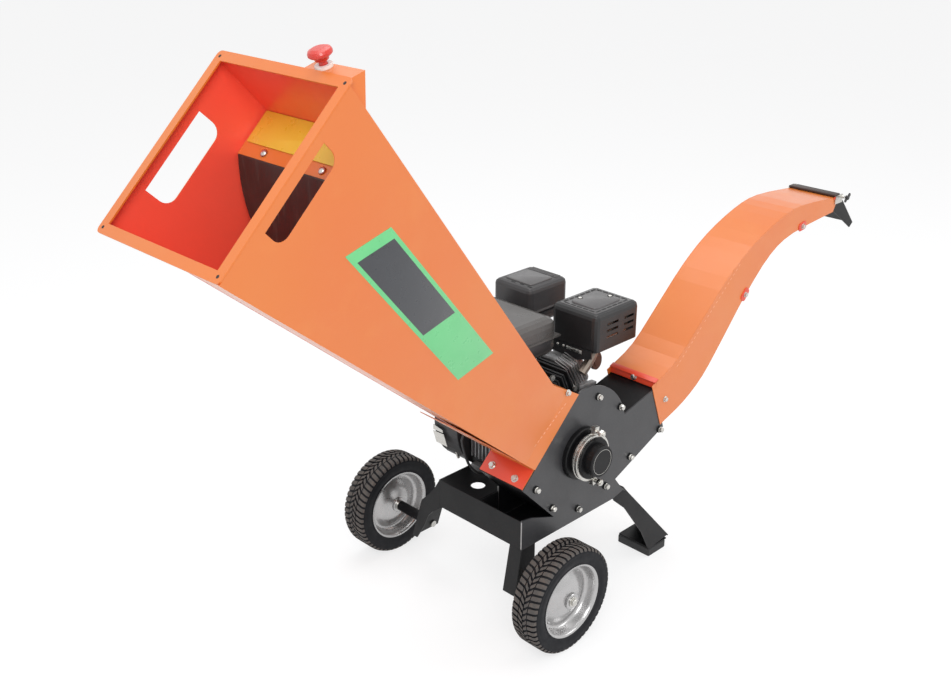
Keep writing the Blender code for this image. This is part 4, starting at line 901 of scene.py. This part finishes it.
def make_flange_skins():
    """The redder skins on the hopper's foot and the chute's flange, and the chute's tabs and bolts."""
    shape = Shape()
    shape.box((-0.1472, -0.0648, 0.0016), (-0.0990, 0.0648, 0.0023), HOPPER, 0.0003)
    neck = Matrix.Translation((0.3985, MID_Y, 0.4890)) @ Matrix.Rotation(math.radians(10), 4, "Y")
    shape.box((-0.0018, -0.0688, -0.0088), (0.0008, 0.0688, 0.0088), neck, 0.0008)
    lip = neck @ Matrix.Rotation(math.radians(-34), 4, "Y")
    shape.box((-0.0018, -0.0688, 0.0068), (0.0130, 0.0688, 0.0092), lip, 0.0008)
    for x, z, slope in CHUTE_TABS:
        turn = Matrix.Rotation(math.radians(slope), 4, "Z")
        m = Matrix.Translation((x, NEAR_Y - SHEET, z)) @ TO_NEAR @ turn
        shape.prism(rounded((-0.0175, -0.0110), (0.0175, 0.0110), 0.0080, 6), 0.0, 0.0022, m, 0.0006)
    shape.done("red_flanges", ["flange_red"], "frame")
    bolts = Shape()
    hex_bolt(bolts, (0.3970, -0.1560, 0.4900), (-1, 0, 0.18), 0.0120, 0.0054, 0.0080, 30)
    for x, z, _ in CHUTE_TABS:
        hex_bolt(bolts, (x, NEAR_Y - 0.0040, z), (0, -1, 0), 0.0100, 0.0040, 0.0070, 20)
    bolts.done("flange_bolts", ["zinc"], "frame")


def make_bearing_details():
    """The bolts through the clamp band's ears, two ridges on it and the cap's rim line."""
    shape = Shape()
    x, z = SHAFT
    reach = 0.062
    for angle in (80, -80):
        a = math.radians(angle)
        at = Vector((x + reach * math.cos(a), NEAR_Y - 0.036, z + reach * math.sin(a)))
        shape.disc(0.0052, 0.0, 0.0110, facing(at, (0, -1, 0)), 0.0004, 18)
        hex_bolt(shape, at - Vector((0, 0.0110, 0)), (0, -1, 0), 0.0150, 0.0080, 0.0, angle, stud=0.003)
        hex_bolt(shape, at + Vector((0, 0.011, 0)), (0, 1, 0), 0.013, 0.0060, 0.0, angle)
    for low in (0.0240, 0.0330):
        m = Matrix.Translation((x, NEAR_Y, z)) @ TO_NEAR
        ridge = [(0.0540, low + 0.004), (0.0556, low + 0.0032), (0.0556, low + 0.0008), (0.0540, low)]
        shape.revolve(ridge, m, 64, ring=True)
    shape.done("clamp_bolts", ["zinc"], "frame")
    line = Shape()
    m = Matrix.Translation((x, NEAR_Y - 0.0641, z)) @ TO_NEAR
    square = [(0.0290, 0.0004), (0.0298, 0.0004), (0.0298, -0.0004), (0.0290, -0.0004)]
    line.revolve(square, m, 48, ring=True)
    line.done("cap_rim_line", ["zinc"], "frame")


make_chamber_bolts()
make_worn_edges()
make_flange_skins()
make_bearing_details()


# Hopper


def hopper_side(out, sign):
    """The y of the near or far panel this far out, measured from the middle of the foot."""
    flare = max(out - COLLAR, 0) / (HOPPER_DEPTH - COLLAR)
    mouth = MOUTH_Y[1] if sign > 0 else MOUTH_Y[0]
    foot = sign * FOOT_HALF
    return foot + flare * (mouth - foot)


def near_panel_frame():
    """The near panel's plane: local X up the mouth, local Y out along the panel, local Z off its face."""
    a = Vector((0, hopper_side(COLLAR, -1), COLLAR))
    b = Vector((0, hopper_side(HOPPER_DEPTH, -1), HOPPER_DEPTH))
    along = (b - a).normalized()
    up = Vector((1, 0, 0))
    out = up.cross(along)
    if out.y > 0:
        out = -out
    m = Matrix.Identity(4)
    for i in range(3):
        m[i][0] = up[i]
        m[i][1] = along[i]
        m[i][2] = out[i]
        m[i][3] = a[i]
    return HOPPER @ m, along.z


# The green film's corners, each up the mouth and out along the hopper
LABEL = ((-0.0431, 0.8451), (0.0479, 0.7918), (0.0224, 0.3566), (-0.0647, 0.4097))


def make_label():
    """A plain green film with a plain dark field, stuck on the near panel."""
    m, rise = near_panel_frame()

    def spot(s, t):
        """s runs from the mouth's end to the foot's, t from the lower edge to the upper."""
        a, b, c, d = (Vector(corner) for corner in LABEL)
        point = (a * (1 - t) + b * t) * (1 - s) + (d * (1 - t) + c * t) * s
        return (point.x, (point.y - COLLAR) / rise)

    def field(s0, s1, t0, t1, low, high, look):
        shape = Shape()
        shape.prism([spot(s0, t0), spot(s0, t1), spot(s1, t1), spot(s1, t0)], low, high, m, 0.0001)
        shape.done("label_" + look, [look], "frame")

    field(0.0, 1.0, 0.0, 1.0, 0.0001, 0.0005, "band_green")
    field(0.060, 0.620, 0.090, 0.910, 0.0004, 0.0008, "band_dark")


DASH = (0.0031, 0.0008)  # half a dash, along and across


def dashes(shape, start, end, count, y):
    """A row of flat dashes in an XZ plane, from start to end, both (x, z)."""
    a, b = Vector((start[0], y, start[1])), Vector((end[0], y, end[1]))
    slope = math.atan2(b.z - a.z, b.x - a.x)
    for k in range(count):
        m = Matrix.Translation(a.lerp(b, (k + 0.5) / count)) @ Matrix.Rotation(-slope, 4, "Y")
        shape.box((-DASH[0], -0.0002, -DASH[1]), (DASH[0], 0.0003, DASH[1]), m)


def make_dashes():
    """Perforated fold lines: pale dashes by the hopper's collar and along the chute's upper edge."""
    shape = Shape()
    ends = []
    for u, n in ((0.0638, 0.0251), (-0.0713, 0.0468)):
        point = HOPPER @ Vector((u, 0, n))
        ends.append((point.x, point.z))
    dashes(shape, ends[0], ends[1], 12, NEAR_Y - 0.0003)
    dashes(shape, (0.4742, 0.5092), (0.5700, 0.5900), 9, NEAR_Y - 0.0019)
    dashes(shape, (0.5760, 0.5960), (0.7165, 0.7152), 13, NEAR_Y - 0.0019)
    shape.done("fold_dashes", ["dash_pale"], "frame")


def make_lip_holes():
    """Dark discs of painted shade for the holes in the corners of the mouth's lip."""
    shape = Shape()
    inset = 0.0115
    for height in (MOUTH_UP[0] + inset, MOUTH_UP[1] - inset):
        for y in (MOUTH_Y[0] + inset, MOUTH_Y[1] - inset):
            m = HOPPER @ Matrix.Translation((height, y, HOPPER_DEPTH + 0.003))
            shape.disc(0.0032, -0.001, 0.00015, m, 0.0001, 18)
    shape.done("lip_hole_shades", ["foot_rubber"], "frame")


def make_baffle_plate():
    """The baffle's yellow plate, and the two domed bolts that hold the curtain."""
    shape = Shape()
    m = HOPPER @ Matrix.Translation((0, 0, BAFFLE_OUT + 0.0002))
    shape.prism(rounded((0.0745, -0.150), (0.1405, 0.163), 0.003), 0, 0.0005, m, 0.0001)
    shape.done("baffle_plate", ["plate_yellow"], "frame")
    bolts = Shape()
    for y in (0.1014, -0.0596):
        dome_bolt(bolts, HOPPER @ Vector((0.0622, y, BAFFLE_OUT)), OUTWARD, 0.0075, 0.0045)
    bolts.done("curtain_bolts", ["zinc"], "frame")


make_label()
make_dashes()
make_lip_holes()
make_baffle_plate()


# Chute's outlet


def make_outlet():
    """A rubber bar along the outlet's top edge over its red strip, and the deflector's wing nut."""
    shape = Shape()
    near, far = NEAR_Y - 0.0035, FAR_Y + 0.0035
    shape.box((1.1440, near, 0.7945), (1.1680, far, 0.8005), bevel=0.0016)
    shape.done("outlet_bar", ["brown_rubber"], "frame")
    strip = Shape()
    strip.box((1.1400, near - 0.0004, 0.7890), (1.1660, near + 0.0016, 0.7950), bevel=0.0004)
    strip.done("outlet_strip", ["flange_red"], "frame")
    nut = Shape()
    at = Vector((1.176, NEAR_Y - 0.0180, 0.7910))
    nut.disc(0.0058, 0.0, 0.0080, facing(at, (0, -1, 0)), 0.0008, 18)
    for way in (-1, 1):
        m = facing(at + Vector((0, -0.0045, 0)), (0, -1, 0), 35) @ Matrix.Translation((0.0095 * way, 0, 0))
        nut.prism(rounded((-0.0062, -0.0052), (0.0062, 0.0052), 0.0048, 5), -0.0011, 0.0011, m, 0.0004)
    nut.done("deflector_wing_nut", ["lever_black"], "frame")


make_outlet()


# Engine

GUARD_LOW = Vector((0.281, FAR_Y - 0.043, 0.575))
GUARD_HIGH = Vector((0.440, FAR_Y + 0.097, 0.668))
CLEANER_LOW = Vector((0.272, FAR_Y + 0.157, 0.587))
CLEANER_HIGH = Vector((0.405, FAR_Y + 0.277, 0.684))


def slot_shade_mark(shape, at, half, corner, low, m):
    """A thin dark shape just above a face: painted shade that stands for a slot in it."""
    (x, y), (half_x, half_y) = at, half
    outline = rounded((x - half_x, y - half_y), (x + half_x, y + half_y), corner, 4)
    shape.prism(outline, low, low + 0.0006, m)


def make_guard_top():
    """The muffler guard's raised centre panel, in a lighter grey that is painted light for its lit top,
    painted shade marking the slots round it, and its two screws in dark discs of painted shade for their
    wells.
    """
    x0, y0, x1, y1 = GUARD_LOW.x, GUARD_LOW.y, GUARD_HIGH.x, GUARD_HIGH.y
    top = GUARD_HIGH.z
    rim, edge, row = 0.0300, 0.013, 0.0205
    panel = Shape()
    m = Matrix.Translation((0, 0, top))
    panel.prism(rounded((x0 + rim, y0 + rim), (x1 - rim, y1 - rim), 0.014, 6), -0.001, 0.0034, m, 0.0022)
    lip = rounded((x0 + edge, y0 + edge), (x1 - edge, y1 - edge), 0.008, 6)
    panel.prism(lip, -0.001, 0.0005, m, 0.0004)
    panel.done("guard_panel", ["guard_top_painted_light"], "frame", 45)
    slots = Shape()
    for x in spaced(x0 + 0.030, x1 - 0.030, 6):
        for y in (y0 + row, y1 - row):
            slot_shade_mark(slots, (x, y), (0.0080, 0.0024), 0.0022, 0.0002, m)
    for y in spaced(y0 + 0.032, y1 - 0.032, 5):
        for x in (x0 + row, x1 - row):
            slot_shade_mark(slots, (x, y), (0.0024, 0.0080), 0.0022, 0.0002, m)
    wells = ((0.3425, FAR_Y + 0.0606), (0.4036, FAR_Y + 0.0189))
    for x, y in wells:
        slots.disc(0.0068, 0.0030, 0.0037, Matrix.Translation((x, y, top)), 0.0002, 24)
    slots.done("guard_slot_shades", ["painted_shade_black"], "frame")
    screws = Shape()
    for x, y in wells:
        dome_bolt(screws, (x, y, top + 0.0034), (0, 0, 1), 0.0048, 0.0020)
    screws.done("guard_screws", ["zinc"], "frame")


def make_cleaner_top():
    """The air cleaner lid's raised field and its groove band, in a lighter grey that is painted light for
    the lit top, and three short slots marked by painted shade.
    """
    top = CLEANER_HIGH.z
    brim = 0.002
    x0, y0 = CLEANER_LOW.x - brim, CLEANER_LOW.y - brim
    x1, y1 = CLEANER_HIGH.x + brim, CLEANER_HIGH.y + brim
    m = Matrix.Translation((0, 0, top))
    field = Shape()
    raised = rounded((x0 + 0.022, y0 + 0.018), (x1 - 0.034, y1 - 0.018), 0.010, 6)
    field.prism(raised, -0.001, 0.0028, m, 0.0022)
    for k in range(4):
        x = x1 - 0.028 + 0.0052 * k
        bar = rounded((x, y0 + 0.016), (x + 0.0030, y1 - 0.016), 0.0014, 4)
        field.prism(bar, -0.0005, 0.0012, m, 0.0005)
    field.done("cleaner_field", ["guard_top_painted_light"], "frame", 45)
    slots = Shape()
    for x, y in ((0.2855, 0.140), (0.2875, 0.113), (0.2855, 0.086)):
        slot_shade_mark(slots, (x, y), (0.0022, 0.0065), 0.0020, 0.0001, m)
    slots.done("cleaner_slot_shades", ["painted_shade_black"], "frame")


def make_tank_panel():
    """The dark lower field on two of the tank's walls."""
    x0, x1 = SHAFT[0] - 0.105, SHAFT[0] + 0.112
    y0, y1 = FAR_Y + 0.040, FAR_Y + 0.270
    low, seam = SHAFT[1] + 0.153, SHAFT[1] + 0.198
    proud, deep, corner = 0.0010, 0.002, 0.024
    bottom, top = low + 0.018, seam - 0.003
    shape = Shape()
    shape.box((x0 - proud, y0 + corner, bottom), (x0 + deep, y1 - corner, top), bevel=0.0008)
    shape.box((x0 + corner, y0 - proud, bottom), (x1 - corner, y0 + deep, top), bevel=0.0008)
    shape.done("tank_field", ["box_black"], "frame")


def make_fins():
    """The rubbed edges of the cylinder's fins, the ledge under them, a bolt and the exhaust flange."""
    edges = Shape()
    y = FAR_Y + 0.0055
    line = [
        (0.2035, y + 0.008, 0.5648),
        (0.2270, y + 0.001, 0.5435),
        (0.2385, y, 0.5325),
        (0.2425, y, 0.5240),
        (0.2704, y, 0.4772),
    ]
    for share in spaced(0, 1, 6):
        shift = Vector((0.0350, 0, 0.0117)) * share
        edges.tube([Vector(p) + shift for p in line], 0.0014, 8)
    edges.done("fin_edges", ["worn_edge"], "frame")
    ledge = Shape()
    lean = Matrix.Translation((0.3179, FAR_Y + 0.010, 0.4673)) @ Matrix.Rotation(math.radians(8), 4, "Y")
    ledge.box((-0.0320, -0.006, -0.0065), (0.0320, 0.010, 0.0060), lean, 0.0020)
    ledge.done("head_ledge", ["engine_cast"], "frame")
    bolt = Shape()
    hex_bolt(bolt, (0.2957, FAR_Y + 0.0060, 0.5202), (0, -1, 0), 0.010, 0.0050, 0.0070, 10)
    bolt.done("fin_bolt", ["zinc"], "frame")
    flange = Shape()
    m = facing((0.3738, -0.0560, 0.5083), (0.15, -1, 0.1))
    flange.disc(0.0225, -0.004, 0.0035, m, 0.0008, 32)
    flange.disc(0.0140, 0.0030, 0.0052, m, 0.0008, 28)
    flange.done("exhaust_flange", ["rust_flange"], "frame")


def make_guard_bracket():
    """The dark bracket that carries the muffler guard, with its small bright tab and two screws."""
    shape = Shape()
    x = 0.2800
    outline = [
        (0.0383, 0.5750),
        (-0.1180, 0.5800),
        (-0.1200, 0.5610),
        (-0.0800, 0.5480),
        (0.0300, 0.5500),
    ]
    m = Matrix(((0, 0, 1, x), (1, 0, 0, 0), (0, 1, 0, 0), (0, 0, 0, 1)))
    shape.prism(outline, -0.003, 0.0, m, 0.0006)
    shape.done("guard_bracket", ["guard_black"], "frame")
    tab = Shape()
    tab.box((x - 0.0046, -0.0915, 0.5655), (x - 0.0030, -0.0440, 0.5745), bevel=0.0004)
    for y in (-0.0158, -0.0336):
        dome_bolt(tab, (x - 0.0030, y, 0.5700), (-1, 0, 0), 0.0034, 0.0018)
    tab.done("bracket_tab", ["zinc"], "frame")


def make_case_front():
    """The crankcase's front: ribs, a dark sheet of painted shade for a pocket, the plates by the fan
    housing and the dip tube.
    """
    face = SHAFT[0] - 0.080
    ribs = Shape()
    for y in spaced(-0.018, 0.052, 7):
        ribs.box((face - 0.0065, y - 0.0022, 0.3350), (face + 0.002, y + 0.0022, 0.3960), bevel=0.0009)
    ribs.box((face - 0.0040, -0.0220, 0.3930), (face + 0.002, 0.0560, 0.3985), bevel=0.0010)
    ribs.box((face - 0.0100, -0.0160, 0.3100), (face + 0.002, 0.0300, 0.3190), bevel=0.0020)
    ribs.done("case_ribs", ["engine_cast"], "frame")
    pocket = Shape()
    pocket.box((face - 0.0012, -0.0180, 0.3200), (face + 0.001, 0.0520, 0.3340), bevel=0.0004)
    pocket.done("case_pocket_painted_shade", ["painted_shade_black"], "frame")
    plate = Shape()
    side = Matrix(((0, 0, 1, -0.0008), (1, 0, 0, 0), (0, 1, 0, 0), (0, 0, 0, 1)))
    lower = [(0.1235, 0.3890), (0.0869, 0.3908), (0.0747, 0.3622), (0.1119, 0.3625)]
    upper = [(0.1225, 0.4059), (0.0909, 0.4004), (0.0890, 0.3935), (0.1225, 0.3925)]
    for outline in (lower, upper):
        plate.prism(outline, -0.0012, 0.0, side, 0.0003)
    plate.done("case_plate", ["zinc"], "frame")
    pipe = Shape()
    bends = [
        (0.030, 0.0902, 0.3897),
        (0.030, 0.0860, 0.3700),
        (0.030, 0.0794, 0.3402),
        (0.034, 0.0740, 0.3200),
    ]
    pipe.tube(bends, 0.0034, 14)
    pipe.done("dip_tube", ["zinc"], "frame")


make_guard_top()
make_cleaner_top()
make_tank_panel()
make_fins()
make_guard_bracket()
make_case_front()

bpy.context.scene.view_settings.view_transform = "Standard"
